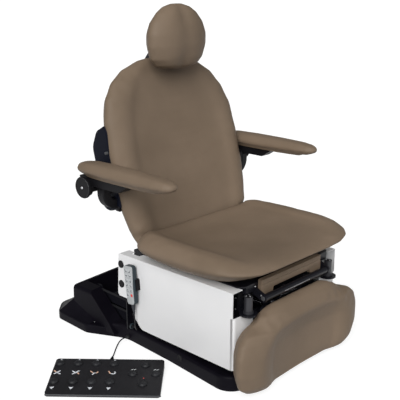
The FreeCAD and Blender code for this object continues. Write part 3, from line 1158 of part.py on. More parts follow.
def leg_cushion():
    rows = [
        (18, 12, 262, 26, 34, 208, 56, 150, 50, 46),
        (27, 5, 296, 28, 52, 228, 74, 168, 62, 54),
        (52, 0, 328, 30, 66, 246, 87, 180, 70, 56),
        (105, 0, 344, 30, 71, 256, 91, 186, 72, 56),
        (170, 0, 345, 30, 71, 256, 91, 182, 74, 60),
        (212, 0, 331, 30, 69, 245, 90, 170, 82, 74),
        (238, 0, 300, 30, 66, 218, 89, 152, 88, 85),
        (256, 0, 246, 30, 62, 178, 84, 126, 87, 88),
        (282, 3, 208, 28, 52, 147, 71, 100, 75, 76),
        (298, 9, 176, 24, 32, 117, 48, 80, 51, 52),
        (305, 15, 142, 18, 14, 87, 26, 60, 28, 29)]
    rings = []
    for z, inset, half, tuck, edge, crest_at, crest, valley_at, valley, centre in rows:
        place = (lambda a, b, z=z, inset=inset: Vector(a, LEG_REAR - inset - b, z))
        rings.append(cushion_ring(place, half, tuck, edge, crest_at, crest, valley_at, valley, centre))
    return cushion(rings, box((-500, 500), (LEG_REAR, LEG_REAR + 100), (-100, 500)))


def all_parts():
    parts = {
        "base_plate": base_plate(), "base_frame": base_frame(), "lift_base_pivots": lift_base_pivots(),
        "base_cover": base_cover(), "control_box": control_box(), "lower_lift_arm": lower_lift_arm(),
        "upper_lift_arms": upper_lift_arms(), "lift_carriage": lift_carriage(),
        "carriage_pins": carriage_pins(), "side_panel_left": side_panel(),
        "side_panel_right": mirrored(side_panel()), "panel_caps": panel_caps(),
        "handset": handset(), "handset_holder": handset_holder(), "handset_cord": handset_cord(),
        "handset_gland": handset_gland(), "pedal_tray": pedal_tray(), "pedal_cover": pedal_cover(),
        "foot_cord": foot_cord(), "foot_cord_reliefs": foot_cord_reliefs(), "seat_frame": seat_frame(),
        "seat_hinge_pins": seat_hinge_pins(), "accessory_posts": accessory_posts(),
        "front_trim_pad": front_trim_pad(), "seat_cushion": seat_cushion(), "back_frame": back_frame(),
        "back_cover": back_cover(), "back_cushion": back_cushion(), "headrest_mast": headrest_mast(),
        "headrest_plate": headrest_plate(), "headrest_cushion": headrest_cushion(),
        "arm_supports": group(both_sides(arm_support())), "leg_frame": leg_frame(),
        "leg_cushion": leg_cushion()}
    for name, make in (("arm_bracket", arm_bracket), ("arm_pad", arm_pad), ("arm_knob", arm_knob)):
        parts[name + "_left"] = make()
        parts[name + "_right"] = mirrored(make())
    actuators = {
        "lift_actuator": (LIFT_BASE, HORN_TIP, LIFT_BODY, LIFT_STROKE, -1),
        "tilt_actuator": (TILT_BASE, TILT_TIP, TILT_BODY, TILT_STROKE, 1),
        "back_actuator": (BACK_BASE, BACK_TIP, BACK_BODY, BACK_STROKE, 1, BACK_STROKE),
        "leg_actuator": (LEG_BASE, LEG_TIP, LEG_BODY, LEG_STROKE, -1)}
    for name, sizes in actuators.items():
        parts[name + "_body"], parts[name + "_rod"] = actuator(*sizes)
    for number, place in enumerate(button_places(), 1):
        parts["foot_button_%02d" % number] = foot_button(place)
    return parts


os.makedirs("parts", exist_ok=True)
for node, shape in all_parts().items():
    shape.exportStep("parts/" + node + ".step")
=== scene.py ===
"""Power procedure chair: upholstery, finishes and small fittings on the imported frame. Metres and degrees."""
import json
import math

import bmesh
import bpy
from mathutils import Matrix, Vector


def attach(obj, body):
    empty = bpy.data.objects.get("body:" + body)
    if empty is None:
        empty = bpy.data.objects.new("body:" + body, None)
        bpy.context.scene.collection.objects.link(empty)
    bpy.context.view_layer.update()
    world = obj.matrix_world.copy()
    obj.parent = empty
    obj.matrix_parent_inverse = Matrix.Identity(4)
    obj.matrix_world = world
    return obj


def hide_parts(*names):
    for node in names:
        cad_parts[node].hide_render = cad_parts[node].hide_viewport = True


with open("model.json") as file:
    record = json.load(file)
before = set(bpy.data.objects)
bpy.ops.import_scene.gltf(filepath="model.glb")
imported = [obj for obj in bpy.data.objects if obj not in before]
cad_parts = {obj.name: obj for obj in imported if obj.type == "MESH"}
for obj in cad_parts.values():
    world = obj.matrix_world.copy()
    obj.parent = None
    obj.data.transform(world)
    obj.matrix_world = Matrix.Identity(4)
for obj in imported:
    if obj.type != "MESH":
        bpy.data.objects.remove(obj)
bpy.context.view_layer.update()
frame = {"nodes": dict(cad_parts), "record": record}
nodes = frame["nodes"]
scene = bpy.context.scene

# Camera, as the photograph was taken
CAMERA_AT = (-2.0919, -2.0002, 1.3846)
CAMERA_TURN = -46.8336
CAMERA_DIP = 16.1859
CAMERA_LENS = 68.254
SENSOR = 36.0

# Studio: two soft lights, a weak sky, and a white floor and backdrop that glow
KEY_FROM = (-0.78, -0.46, 0.58)
KEY_POWER = 2.95
KEY_SOFTNESS = 45.0
FILL_FROM = (0.35, -1.0, 0.6)
FILL_POWER = 0.42
FILL_SOFTNESS = 70.0
LAMP_AWAY = 4.0
WHITE = (1.0, 1.0, 1.0, 1.0)
WORLD_LIGHT = 0.20
FLOOR_REACH = 120.0
FLOOR_DROP = 0.0005
FLOOR_GLOW = 0.80
FLOOR_TONE = 0.35
WALL_AWAY = 60.0
WALL_HIGH = 80.0
WALL_SIDES = 48
WALL_GLOW = 1.0
WALL_TONE = 0.0
MATT = 0.95

# Cords: routes of the CAD tubes
CORD_DIAMETER = 0.005
HANDSET_ROUTE = (
    (-0.3230, 0.0037, 0.1705), (-0.3230, 0.0011, 0.1426), (-0.3210, 0.0030, 0.1130),
    (-0.3120, 0.0080, 0.0910), (-0.2980, 0.0180, 0.0785), (-0.2840, 0.0320, 0.0760),
    (-0.2840, 0.0540, 0.0760))
FOOT_ROUTE = (
    (-0.4455, -0.0015, 0.0130), (-0.4246, 0.0171, 0.0130), (-0.4020, 0.0380, 0.0050),
    (-0.3720, 0.0640, 0.0030), (-0.3410, 0.0860, 0.0080), (-0.3160, 0.0950, 0.0180),
    (-0.2930, 0.0950, 0.0180))

# Boards that the cushions rest on: the way out of the cushion, and where the board is
DOWN = Vector((0.0, 0.0, -1.0))
REARWARD = Vector((0.0, 1.0, 0.0))
BACK_LEAN = math.radians(14.5)
BACK_HINGE = Vector((0.0, 0.045, 0.415))
BACK_OUT = Vector((0.0, math.cos(BACK_LEAN), -math.sin(BACK_LEAN)))
BACK_REAR = 0.012
PAN_TOP = 0.383
HEAD_REAR = 0.128
LEG_REAR = -0.495
ARM_BAR_TOP = 0.698
TRIM_REAR = -0.478

# Cushion covers: how they lie on their boards, and how they are smoothed and blown up
BOARD_GAP = 0.0003
BOARD_REACH = 0.0005
BOARD_CATCH = 0.7
FACES_BOARD = 0.7
STAPLED_WITHIN = 0.004
COVER_FRAMES = 20
SMOOTH_IN = 0.5
SMOOTH_OUT = -0.52
SETTLE_ROUNDS = 6

# Rolled lower edge and falling front of the seat, and the hollow of the leg rest
ROLL_DEPTH = 0.100
ROLL_SHARE = 0.090
FALL_FROM = -0.36
FALL_REACH = 0.19
FALL_DEPTH = 0.017
HOLLOW_SHARE = 0.30
HOLLOW_LIMIT = 0.035
HOLLOW_ROUNDS = 3

# Sewn lines along the trim board
TRIM_LINES = (0.3725, 0.3835)
LINE_WIDTH = 0.0022
LINE_DEPTH = 0.0022
LINE_FACING = 0.5

# Cut-out at the rear of the side panels, below the ear that holds the handset
CUT_BLOCK = (0.06, 0.2, 0.3)
CUT_FROM = 0.020
CUT_TOP = 0.200
CUT_NEAR = 0.01
CUT_ROUND = 0.026
CUT_STEPS = 8
PANEL_OUT = 0.305
PANEL_CREASE = 30.0

# How meshes are ended: distances that weld points, the angle that stays sharp, steps of rounded edges
WELD_CAD = 1e-5
WELD = 1e-6
WELD_TURNED = 1e-7
CREASE = 40.0
CORNER_STEPS = 6
EDGE_STEPS = 2
NEAR_TOP = 0.99
FACES_UP = 0.9
TURNED_STEPS = 40

# Plates are (width, height, thickness, corner, edge), profiles (radius, height), lines (width, thickness)

# Printed strokes and arrows, as shares of their width, thickness and size
STROKE_ROUND = 0.48
STROKE_EASE = 0.3
ARROW_TAPER = 0.96

# Handset on its side panel: its outer face, rows and columns of keys, pictograms of the left column
HANDSET_AT = Vector((0.0, 0.014, 0.277))
HANDSET_LEAN = -5.5
HANDSET_FACE_X = -0.335
FACE_HEIGHT = 0.1515
FACE_THICK = 0.0056
FACE_PLATE = (0.0450, FACE_HEIGHT, FACE_THICK, 0.010, 0.0012)
FACE_PROUD = 0.0014
TAPER_FROM = -0.010
TAPER_SHARE = 0.25
KEY_ROWS = (0.057, 0.038, 0.018, -0.001, -0.020, -0.039)
KEY_COLUMNS = (-0.0098, 0.0098)
KEY_PLATE = (0.0170, 0.0150, 0.0010, 0.003, 0.0004)
KEY_SINK = 0.0003
STOP_PROFILE = ((0.0, 0.0016), (0.0042, 0.0014), (0.0056, 0.0008), (0.0062, 0.0), (0.0, 0.0))
GLYPH_RISE = 0.0006
GLYPH_LINE = (0.0023, 0.0003)
KEY_GLYPHS = (
    ((-0.0054, 0.0046, -0.0014, -0.0036), (-0.0014, -0.0036, 0.0050, -0.0036)),
    ((-0.0054, 0.0016, 0.0004, -0.0026), (0.0004, -0.0026, 0.0050, 0.0028)),
    ((-0.0048, 0.0042, -0.0026, -0.0038), (-0.0026, -0.0038, 0.0042, -0.0010)),
    ((-0.0056, -0.0022, 0.0, -0.0022), (0.0, -0.0022, 0.0036, 0.0044)),
    ((-0.0050, -0.0034, 0.0050, -0.0034), (-0.0026, 0.0028, 0.0026, 0.0028)),
    ((-0.0044, 0.0038, 0.0044, -0.0038), (-0.0044, -0.0038, 0.0, 0.0)))

# Ribbed relief where the cord leaves the handset
RELIEF_AT = Vector((-0.323, 0.0, -0.077))
RELIEF_HEAD = ((0.0, -0.003), (0.0086, -0.003), (0.0090, 0.002))
RELIEF_RIB = ((-0.0008, 0.0), (0.0, 0.0015), (-0.0002, 0.004))
RELIEF_TAIL = ((0.0036, 0.036), (0.0032, 0.042), (0.0, 0.042))
RELIEF_RIBS = 5
RELIEF_START = 0.004
RELIEF_PITCH = 0.006
RELIEF_RADIUS = 0.0080
RELIEF_TAPER = 0.0008

# Foot control: columns of push buttons, the cluster on the right, printed marks, a grey strip along the front
# edge as a painted highlight of the lit edge, and cord boot
PEDAL_AT = Vector((-0.547, -0.092, 0.0))
PEDAL_TURN = -48.3
PEDAL_MIDDLE = 0.0215
PEDAL_RISE = 0.017 / 0.224
PEDAL_COLUMNS = (-0.182, -0.115, -0.048, 0.017)
PEDAL_ROWS = (0.080, -0.036)
PEDAL_CLUSTER = ((0.134, 0.073), (0.093, 0.017), (0.175, 0.017), (0.134, -0.046))
BUTTON_RISE = 0.005
DOME_PROFILE = (
    (0.0, 0.0044), (0.005, 0.0041), (0.009, 0.0033), (0.0118, 0.0020), (0.0134, 0.0004), (0.0138, -0.0006),
    (0.0, -0.0006))
INK_LAYER = 0.0001
INK_SHADE = 0.86
ICON_ROW = 0.022
ICON_LINE = (0.0048, 0.0005)
PEDAL_ICONS = (
    (("peach", -0.012, 0.010, -0.003, 0.0), ("white", -0.003, 0.0, 0.006, -0.005),
     ("white", 0.006, -0.005, 0.012, -0.010), ("white", 0.009, 0.009, -0.008, -0.010)),
    (("white", -0.012, 0.008, -0.002, 0.0), ("white", -0.002, 0.0, 0.007, -0.002),
     ("peach", 0.007, -0.002, 0.013, -0.009), ("white", 0.010, 0.010, -0.009, -0.010)),
    (("peach", -0.013, 0.009, -0.003, -0.002), ("white", -0.003, -0.002, 0.007, -0.003),
     ("peach", 0.007, -0.003, 0.013, 0.004), ("white", 0.001, -0.004, -0.004, -0.012)),
    (("peach", -0.013, 0.009, -0.005, -0.005), ("white", -0.005, -0.005, 0.007, -0.007),
     ("white", 0.007, -0.007, 0.013, 0.0), ("white", 0.013, 0.0, 0.009, 0.006)))
UP_ROW = 0.101
UP_ARROW = 0.0085
DOWN_ROW = -0.074
DOWN_ARROW = 0.0095
ARROW_THICK = 0.0006
MARK_ABOVE = 0.028
MARK_SHIFTS = (-0.005, 0.005)
MARK_ENDS = (-0.003, -0.002, 0.003, 0.002)
MARK_LINE = (0.003, 0.0005)
PEDAL_LAMP = (0.134, -0.009, 0.0)
LAMP_PROFILE = ((0.0, 0.0014), (0.0018, 0.0011), (0.0028, 0.0), (0.0028, -0.0005), (0.0, -0.0005))
LIT_EDGE_AT = Vector((0.002, -0.1105, 0.0095))
LIT_EDGE_HEIGHT = 0.0046
LIT_EDGE_PLATE = (0.404, LIT_EDGE_HEIGHT, 0.0022, LIT_EDGE_HEIGHT * 0.45, 0.0006)
BOOT_PROFILE = (
    (0.0, -0.004), (0.0078, -0.004), (0.0080, 0.002), (0.0066, 0.004), (0.0068, 0.009), (0.0056, 0.011),
    (0.0056, 0.016), (0.0042, 0.018), (0.0036, 0.026), (0.0, 0.026))

# Arm clamp knobs
KNOB_AT = Vector((0.452, 0.123, 0.662))
KNOB_STEPS = 64
KNOB_SCREW_RADIUS = 0.0050
RIM_PROFILE = (
    (0.0350, -0.0118), (0.0392, -0.0112), (0.0406, -0.0085), (0.0406, -0.0035), (0.0392, -0.0004),
    (0.0362, 0.0010), (0.0336, 0.0004), (0.0336, -0.0040))
# Raised ring near the knob's rim: a real ridge, its lighter grey a painted highlight ring
HIGHLIGHT_RING_PROFILE = ((0.0372, 0.0004), (0.0378, 0.0010), (0.0384, 0.0004), (0.0378, -0.0006))

# Accessory posts
POST_AT = Vector((0.239, -0.489, 0.351))
CAP_PROFILE = (
    (0.0, 0.0020), (0.0095, 0.0018), (0.0128, 0.0010), (0.0138, -0.0004), (0.0098, -0.0008),
    (0.0098, -0.0055), (0.0, -0.0055))
POST_SCREW_TURNS = (20, 140, 260)
POST_SCREW_CIRCLE = 0.008
POST_SCREW_RISE = Vector((0.0, 0.0, 0.0018))
POST_SCREW_RADIUS = 0.0024

# Screws: their profile as shares of radius and height, and where they are
SCREW_HIGH = 0.62
SCREW_STEPS = 24
SCREW_PROFILE = ((0.0, 0.4), (0.40, 0.4), (0.44, 1.0), (0.78, 0.86), (1.0, 0.4), (1.0, -0.3), (0.0, -0.3))
PAN_SCREW = Vector((0.1903, -0.478, 0.369))
PAN_SCREW_RADIUS = 0.0032
LUG_SCREW = Vector((0.192, -0.5065, 0.3442))
LUG_SCREW_RADIUS = 0.0030
CHEEK_SCREWS = (Vector((0.212, -0.410, 0.313)), Vector((0.212, -0.4085, 0.2705)))
CHEEK_SCREW_RADIUS = 0.0034

# Steel bead along the leg's hinge tube, a painted highlight: it stands in for the tube's thin glint
HIGHLIGHT_BEAD_AT = Vector((-0.012, -0.5276, 0.3352))
BEAD_LENGTH = 0.150
BEAD_RADIUS = 0.0011
BEAD_SIDES = 16

# Plugs in the skirt, and the collar of the handset cord's gland
SKIRT_PLUG = Vector((0.2942, -0.212, 0.0396))
PLUG_LEAN = 0.03
PLUG_PROFILE = (
    (0.0, 0.0012), (0.009, 0.0012), (0.0105, 0.0022), (0.0122, 0.0018), (0.0130, 0.0004),
    (0.0130, -0.0030), (0.0, -0.0030))
GLAND_AT = Vector((-0.284, 0.061, 0.076))
COLLAR_PROFILE = (
    (0.0070, 0.0), (0.0076, 0.0024), (0.0096, 0.0032), (0.0116, 0.0020), (0.0120, -0.0010),
    (0.0110, -0.0030), (0.0074, -0.0030))

# Latches on the back shell, and bosses on its arm supports
SHELL_LATCH = Vector((0.342, 0.110, 0.774))
LATCH_PLATE = (0.020, 0.011, 0.0032, 0.004, 0.0012)
LATCH_RIB_AT = (0.0, -0.002, 0.0028)
LATCH_RIB = (0.013, 0.003, 0.0012, 0.0012, 0.0004)
SUPPORT_BOSS = Vector((0.3350, 0.0525, 0.5715))
BOSS_PROFILE = (
    (0.0, 0.0016), (0.0044, 0.0016), (0.0050, 0.0040), (0.0094, 0.0036), (0.0118, 0.0012),
    (0.0120, -0.0140), (0.0, -0.0140))

# The chair's two sides and the way it faces
SIDES = ((1, "left"), (-1, "right"))
FORWARD = (0, -1, 0)


# Node trees
def new_finish(name):
    material = bpy.data.materials.new(name)
    material.use_nodes = True
    return material, material.node_tree, material.node_tree.nodes["Principled BSDF"]


def add_node(tree, kind, **inputs):
    node = tree.nodes.new(kind)
    for key, value in inputs.items():
        node.inputs[key.replace("_", " ")].default_value = value
    return node


def textured(tree, kind, scale, stretch=(1.0, 1.0, 1.0), **inputs):
    """A texture on Object coordinates, stretched along the piece where the finish has a direction."""
    coords = tree.nodes.new("ShaderNodeTexCoord")
    mapping = add_node(tree, "ShaderNodeMapping", Scale=stretch)
    texture = add_node(tree, kind, Scale=scale, **inputs)
    tree.links.new(coords.outputs["Object"], mapping.inputs["Vector"])
    tree.links.new(mapping.outputs["Vector"], texture.inputs["Vector"])
    return texture


def blotches(tree, shader, value, deep, pale, low=0.35, high=0.65):
    """Colour that drifts between two tones."""
    ramp = tree.nodes.new("ShaderNodeValToRGB")
    ramp.color_ramp.elements[0].position = low
    ramp.color_ramp.elements[1].position = high
    ramp.color_ramp.elements[0].color = (*deep, 1.0)
    ramp.color_ramp.elements[1].color = (*pale, 1.0)
    tree.links.new(value, ramp.inputs["Fac"])
    tree.links.new(ramp.outputs["Color"], shader.inputs["Base Color"])


def gloss_range(tree, shader, value, rough):
    """Roughness that drifts between two values."""
    span = add_node(tree, "ShaderNodeMapRange", To_Min=rough[0], To_Max=rough[1])
    tree.links.new(value, span.inputs["Value"])
    tree.links.new(span.outputs["Result"], shader.inputs["Roughness"])


def relief(tree, shader, layers):
    """Bumps laid on each other: (texture output, depth in metres, strength)."""
    normal = None
    for value, depth, strength in layers:
        bump = add_node(tree, "ShaderNodeBump", Strength=strength, Distance=depth)
        tree.links.new(value, bump.inputs["Height"])
        if normal is not None:
            tree.links.new(normal, bump.inputs["Normal"])
        normal = bump.outputs["Normal"]
    tree.links.new(normal, shader.inputs["Normal"])


# Finishes
def taupe_vinyl():
    """Upholstery vinyl with fine pores and creases."""
    material, tree, shader = new_finish("taupe_vinyl")
    tone = textured(tree, "ShaderNodeTexNoise", scale=5.0, Detail=4.0)
    pores = textured(tree, "ShaderNodeTexVoronoi", scale=620.0)
    creases = textured(tree, "ShaderNodeTexNoise", scale=160.0, Detail=5.0, Distortion=0.8)
    blotches(tree, shader, tone.outputs["Fac"], deep=(0.180, 0.132, 0.091), pale=(0.208, 0.153, 0.107))
    gloss_range(tree, shader, creases.outputs["Fac"], rough=(0.48, 0.66))
    relief(tree, shader, [(pores.outputs["Distance"], 0.0004, 0.35), (creases.outputs["Fac"], 0.0006, 0.25)])
    shader.inputs["Specular IOR Level"].default_value = 0.20
    return material


def moulded_plastic(name, deep, pale, rough, stipple=900.0, specular=0.5):
    """Textured moulding with a fine stipple and faint flow marks."""
    material, tree, shader = new_finish(name)
    flow = textured(tree, "ShaderNodeTexNoise", scale=7.0, Detail=6.0, Distortion=1.2)
    grain = textured(tree, "ShaderNodeTexNoise", scale=stipple, Detail=2.0)
    blotches(tree, shader, flow.outputs["Fac"], deep, pale, low=0.3, high=0.75)
    gloss_range(tree, shader, flow.outputs["Fac"], rough)
    relief(tree, shader, [(grain.outputs["Fac"], 0.0003, 0.3)])
    shader.inputs["Specular IOR Level"].default_value = specular
    return material


def powder_coat(name, deep, pale, rough, specular=0.5):
    """Baked powder paint with a slight orange peel."""
    material, tree, shader = new_finish(name)
    drift = textured(tree, "ShaderNodeTexNoise", scale=3.0, Detail=3.0)
    peel = textured(tree, "ShaderNodeTexNoise", scale=420.0, Detail=1.0)
    blotches(tree, shader, drift.outputs["Fac"], deep, pale)
    gloss_range(tree, shader, drift.outputs["Fac"], rough)
    relief(tree, shader, [(peel.outputs["Fac"], 0.0003, 0.22)])
    shader.inputs["Specular IOR Level"].default_value = specular
    return material


def drawn_metal(name, deep, pale, rough, stretch):
    """Bare metal with fine lines along its length."""
    material, tree, shader = new_finish(name)
    lines = textured(tree, "ShaderNodeTexNoise", scale=60.0, stretch=stretch, Detail=6.0)
    blotches(tree, shader, lines.outputs["Fac"], deep, pale)
    gloss_range(tree, shader, lines.outputs["Fac"], rough)
    relief(tree, shader, [(lines.outputs["Fac"], 0.0001, 0.15)])
    shader.inputs["Metallic"].default_value = 1.0
    return material


def printed_ink(name, colour):
    """Screen-printed ink, a little uneven."""
    material, tree, shader = new_finish(name)
    speck = textured(tree, "ShaderNodeTexNoise", scale=900.0, Detail=3.0)
    blotches(tree, shader, speck.outputs["Fac"], deep=[c * INK_SHADE for c in colour], pale=colour)
    gloss_range(tree, shader, speck.outputs["Fac"], rough=(0.45, 0.6))
    return material


VINYL = taupe_vinyl()
COVER_BLACK = moulded_plastic(
    "cover_black", (0.0038, 0.0032, 0.0056), (0.0070, 0.0061, 0.0096), (0.36, 0.52), specular=0.05)
SHELL_NAVY = moulded_plastic(
    "shell_navy", (0.0028, 0.0036, 0.0090), (0.0052, 0.0064, 0.0140), (0.42, 0.58), specular=0.08)
TRIM_BLACK = moulded_plastic(
    "trim_black", (0.0045, 0.0043, 0.0054), (0.0090, 0.0086, 0.0102), (0.44, 0.60), specular=0.14)
SLEEVE_GREY = moulded_plastic(
    "sleeve_grey", (0.022, 0.024, 0.030), (0.034, 0.036, 0.044), (0.45, 0.60), stipple=1200.0, specular=0.35)
PEDAL_BLACK = moulded_plastic(
    "pedal_black", (0.0085, 0.0082, 0.0100), (0.0150, 0.0146, 0.0175), (0.42, 0.58), stipple=700.0,
    specular=0.30)
HANDSET_TEAL = moulded_plastic(
    "handset_teal", (0.020, 0.032, 0.040), (0.030, 0.046, 0.056), (0.34, 0.48), specular=0.35)
HANDSET_GREY = moulded_plastic(
    "handset_grey", (0.42, 0.44, 0.45), (0.48, 0.50, 0.51), (0.40, 0.52), stipple=1200.0, specular=0.35)
KEY_GREY = moulded_plastic(
    "key_grey", (0.50, 0.52, 0.53), (0.56, 0.58, 0.59), (0.45, 0.58), stipple=1200.0, specular=0.35)
KEY_RED = moulded_plastic(
    "key_red", (0.62, 0.035, 0.025), (0.74, 0.050, 0.035), (0.35, 0.50), stipple=1200.0)
BUTTON_RUBBER = moulded_plastic(
    "button_rubber", (0.0085, 0.0090, 0.0110), (0.0150, 0.0158, 0.0190), (0.45, 0.62), stipple=1100.0,
    specular=0.40)
CORD_RUBBER = moulded_plastic(
    "cord_rubber", (0.0065, 0.0065, 0.0080), (0.0110, 0.0110, 0.0130), (0.45, 0.60), stipple=1500.0,
    specular=0.40)
PANEL_WHITE = powder_coat("panel_white", (0.83, 0.83, 0.835), (0.88, 0.88, 0.885), (0.34, 0.44))
FRAME_BLACK = powder_coat(
    "frame_black", (0.0050, 0.0050, 0.0075), (0.0095, 0.0095, 0.0130), (0.18, 0.30), specular=0.20)
POST_GREY = powder_coat(
    "post_grey", (0.016, 0.016, 0.019), (0.030, 0.030, 0.035), (0.30, 0.44), specular=0.45)
ACTUATOR_CASE = powder_coat(
    "actuator_case", (0.050, 0.052, 0.056), (0.075, 0.078, 0.083), (0.35, 0.48), specular=0.4)
PIN_STEEL = drawn_metal("pin_steel", (0.46, 0.46, 0.48), (0.62, 0.62, 0.64), (0.28, 0.42), (1.0, 8.0, 8.0))
ROD_CHROME = drawn_metal("rod_chrome", (0.66, 0.66, 0.68), (0.76, 0.76, 0.78), (0.08, 0.16), (8.0, 1.0, 8.0))
INK_WHITE = printed_ink("ink_white", (0.82, 0.85, 0.90))
INK_PEACH = printed_ink("ink_peach", (0.80, 0.50, 0.36))
INK_DARK = printed_ink("ink_dark", (0.045, 0.055, 0.070))
INK_RED = printed_ink("ink_red", (0.50, 0.06, 0.05))

SLOT_FINISH = {
    "vinyl": VINYL, "cover_black": COVER_BLACK, "panel_white": PANEL_WHITE, "frame_black": FRAME_BLACK,
    "pin_steel": PIN_STEEL, "rod_chrome": ROD_CHROME, "actuator_case": ACTUATOR_CASE,
    "trim_plastic": TRIM_BLACK, "handset_shell": HANDSET_TEAL, "pedal_plastic": PEDAL_BLACK,
    "button_rubber": BUTTON_RUBBER, "cord_rubber": CORD_RUBBER}
NODE_FINISH = {"back_cover": SHELL_NAVY, "accessory_posts": POST_GREY, "headrest_mast": FRAME_BLACK}


def dress_nodes():
    """Each CAD node gets a finish of its own, or else that of its record slot."""
    for part in frame["record"]["subparts"]:
        finish = NODE_FINISH.get(part["node"], SLOT_FINISH[part["material_slot"]])
        for place in nodes[part["node"]].material_slots:
            place.material = finish


# Pieces
def ended(shape, name):
    """Ends a bmesh as a mesh."""
    mesh = bpy.data.meshes.new(name)
    shape.to_mesh(mesh)
    shape.free()
    return mesh


def in_scene(name, data):
    piece = bpy.data.objects.new(name, data)
    scene.collection.objects.link(piece)
    return piece


def shaded_smooth(mesh):
    for face in mesh.polygons:
        face.use_smooth = True


def dressed(piece, material, body):
    """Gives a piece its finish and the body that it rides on."""
    piece.data.materials.clear()
    piece.data.materials.append(material)
    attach(piece, body)


def piece_from(name, shape, material, body, place=None):
    """Ends a bmesh as a piece, moved to its place inside its mesh."""
    if place is not None:
        bmesh.ops.transform(shape, matrix=place, verts=shape.verts)
    bmesh.ops.remove_doubles(shape, verts=shape.verts, dist=WELD)
    bmesh.ops.recalc_face_normals(shape, faces=shape.faces)
    mesh = ended(shape, name)
    shaded_smooth(mesh)
    mesh.set_sharp_from_angle(angle=math.radians(CREASE))
    dressed(in_scene(name, mesh), material, body)


def on_face(point, outward, up=(0.0, 0.0, 1.0)):
    """Place whose Z points out of a surface, with Y as near to up as it can be."""
    z = Vector(outward).normalized()
    x = Vector(up).cross(z).normalized()
    return Matrix.Translation(point) @ Matrix((x, z.cross(x), z)).transposed().to_4x4()


def turned_by(degrees, axis):
    return Matrix.Rotation(math.radians(degrees), 4, axis)


def mirrored(point):
    return [Vector((side * point.x, point.y, point.z)) for side in (1, -1)]


def planted(shape, place, make, *sizes, **options):
    """Makes one more form in the shape and moves it to its place."""
    before = set(shape.verts)
    make(shape, *sizes, **options)
    bmesh.ops.transform(shape, matrix=place, verts=[v for v in shape.verts if v not in before])


def turned(shape, profile, segments=TURNED_STEPS, closed=False):
    """Spins a profile of (radius, height) points about Z."""
    points = [shape.verts.new((radius, 0.0, height)) for radius, height in profile]
    pairs = list(zip(points, points[1:])) + ([(points[-1], points[0])] if closed else [])
    edges = [shape.edges.new(pair) for pair in pairs]
    bmesh.ops.spin(shape, geom=points + edges, cent=(0, 0, 0), axis=(0, 0, 1), angle=math.tau,
                   steps=segments, use_merge=True)
    bmesh.ops.remove_doubles(shape, verts=shape.verts, dist=WELD_TURNED)


def turned_piece(name, profile, material, body, slot, place, **options):
    shape = bmesh.new()
    turned(shape, profile, **options)
    piece_from(name, shape, material, body, place)


def block(shape, size, middle):
    verts = bmesh.ops.create_cube(shape, size=1.0)["verts"]
    bmesh.ops.scale(shape, vec=size, verts=verts)
    bmesh.ops.translate(shape, vec=middle, verts=verts)
    return verts


def eased(shape, edges, offset, segments):
    """Rounds edges, and returns what that made."""
    return bmesh.ops.bevel(shape, geom=edges, offset=offset, affect="EDGES", segments=segments, profile=0.5,
                           material=-1)


def slab(shape, width, height, thick, corner, edge):
    """Flat plate with rounded corners and a softened top edge, standing on Z 0."""
    verts = block(shape, (width, height, thick), (0.0, 0.0, thick / 2))
    edges = {e for v in verts for e in v.link_edges}
    upright = [e for e in edges if abs(e.verts[0].co.z - e.verts[1].co.z) > thick / 2]
    made = eased(shape, upright, corner, CORNER_STEPS)
    rim = {e for f in made["faces"] for e in f.edges if min(v.co.z for v in e.verts) > thick * NEAR_TOP}
    tops = {f for e in rim for f in e.link_faces if f.normal.z > FACES_UP}
    eased(shape, list({e for f in tops for e in f.edges}), edge, EDGE_STEPS)


def stroke(shape, x0, y0, x1, y1, width, thick):
    """Printed line with round ends between two points."""
    length = math.hypot(x1 - x0, y1 - y0) + width
    turn = Matrix.Rotation(math.atan2(y1 - y0, x1 - x0), 4, "Z")
    middle = Matrix.Translation(((x0 + x1) / 2, (y0 + y1) / 2, 0.0))
    planted(shape, middle @ turn, slab, length, width, thick, width * STROKE_ROUND, thick * STROKE_EASE)


def arrow(shape, size, thick):
    """Printed triangle, its point towards Y."""
    bmesh.ops.create_cone(shape, cap_ends=True, segments=3, radius1=size, radius2=size * ARROW_TAPER,
                          depth=thick)


def screw(shape, radius):
    """Button-head screw with a socket, standing on Z 0."""
    high = radius * SCREW_HIGH
    turned(shape, [(radius * out, high * up) for out, up in SCREW_PROFILE], SCREW_STEPS)


# Upholstery
def merged_copy(node, name):
    """A copy of a CAD node's mesh, its loose triangles joined."""
    shape = bmesh.new()
    shape.from_mesh(nodes[node].data)
    bmesh.ops.remove_doubles(shape, verts=shape.verts, dist=WELD_CAD)
    return ended(shape, name)


def applied(piece):
    """The piece's mesh with its modifiers applied, in place of its own mesh."""
    graph = bpy.context.evaluated_depsgraph_get()
    mesh = bpy.data.meshes.new_from_object(piece.evaluated_get(graph))
    piece.modifiers.clear()
    old = piece.data
    piece.data = mesh
    bpy.data.meshes.remove(old)


def remeshed(piece, voxel):
    remesh = piece.modifiers.new("voxels", "REMESH")
    remesh.mode = "VOXEL"
    remesh.voxel_size = voxel
    applied(piece)


def flattened(piece, rest, point, voxel):
    """Lays the underside flat on its board."""
    for vert in piece.data.vertices:
        beyond = (vert.co - point).dot(rest)
        if beyond > -voxel * BOARD_CATCH and vert.normal.dot(rest) > FACES_BOARD:
            vert.co -= rest * (beyond + BOARD_GAP)


def relaxed(piece, rounds, rest, point):
    """Smooths the skin without shrinking it, and keeps what lies on the board flat on it."""
    shape = bmesh.new()
    shape.from_mesh(piece.data)
    for _ in range(rounds):
        for factor in (SMOOTH_IN, SMOOTH_OUT):
            bmesh.ops.smooth_vert(shape, verts=shape.verts, factor=factor, use_axis_x=True, use_axis_y=True,
                                  use_axis_z=True)
        for vert in shape.verts:
            beyond = (vert.co - point).dot(rest)
            if beyond > -BOARD_REACH:
                vert.co -= rest * (beyond + BOARD_GAP)
    shape.to_mesh(piece.data)
    shape.free()


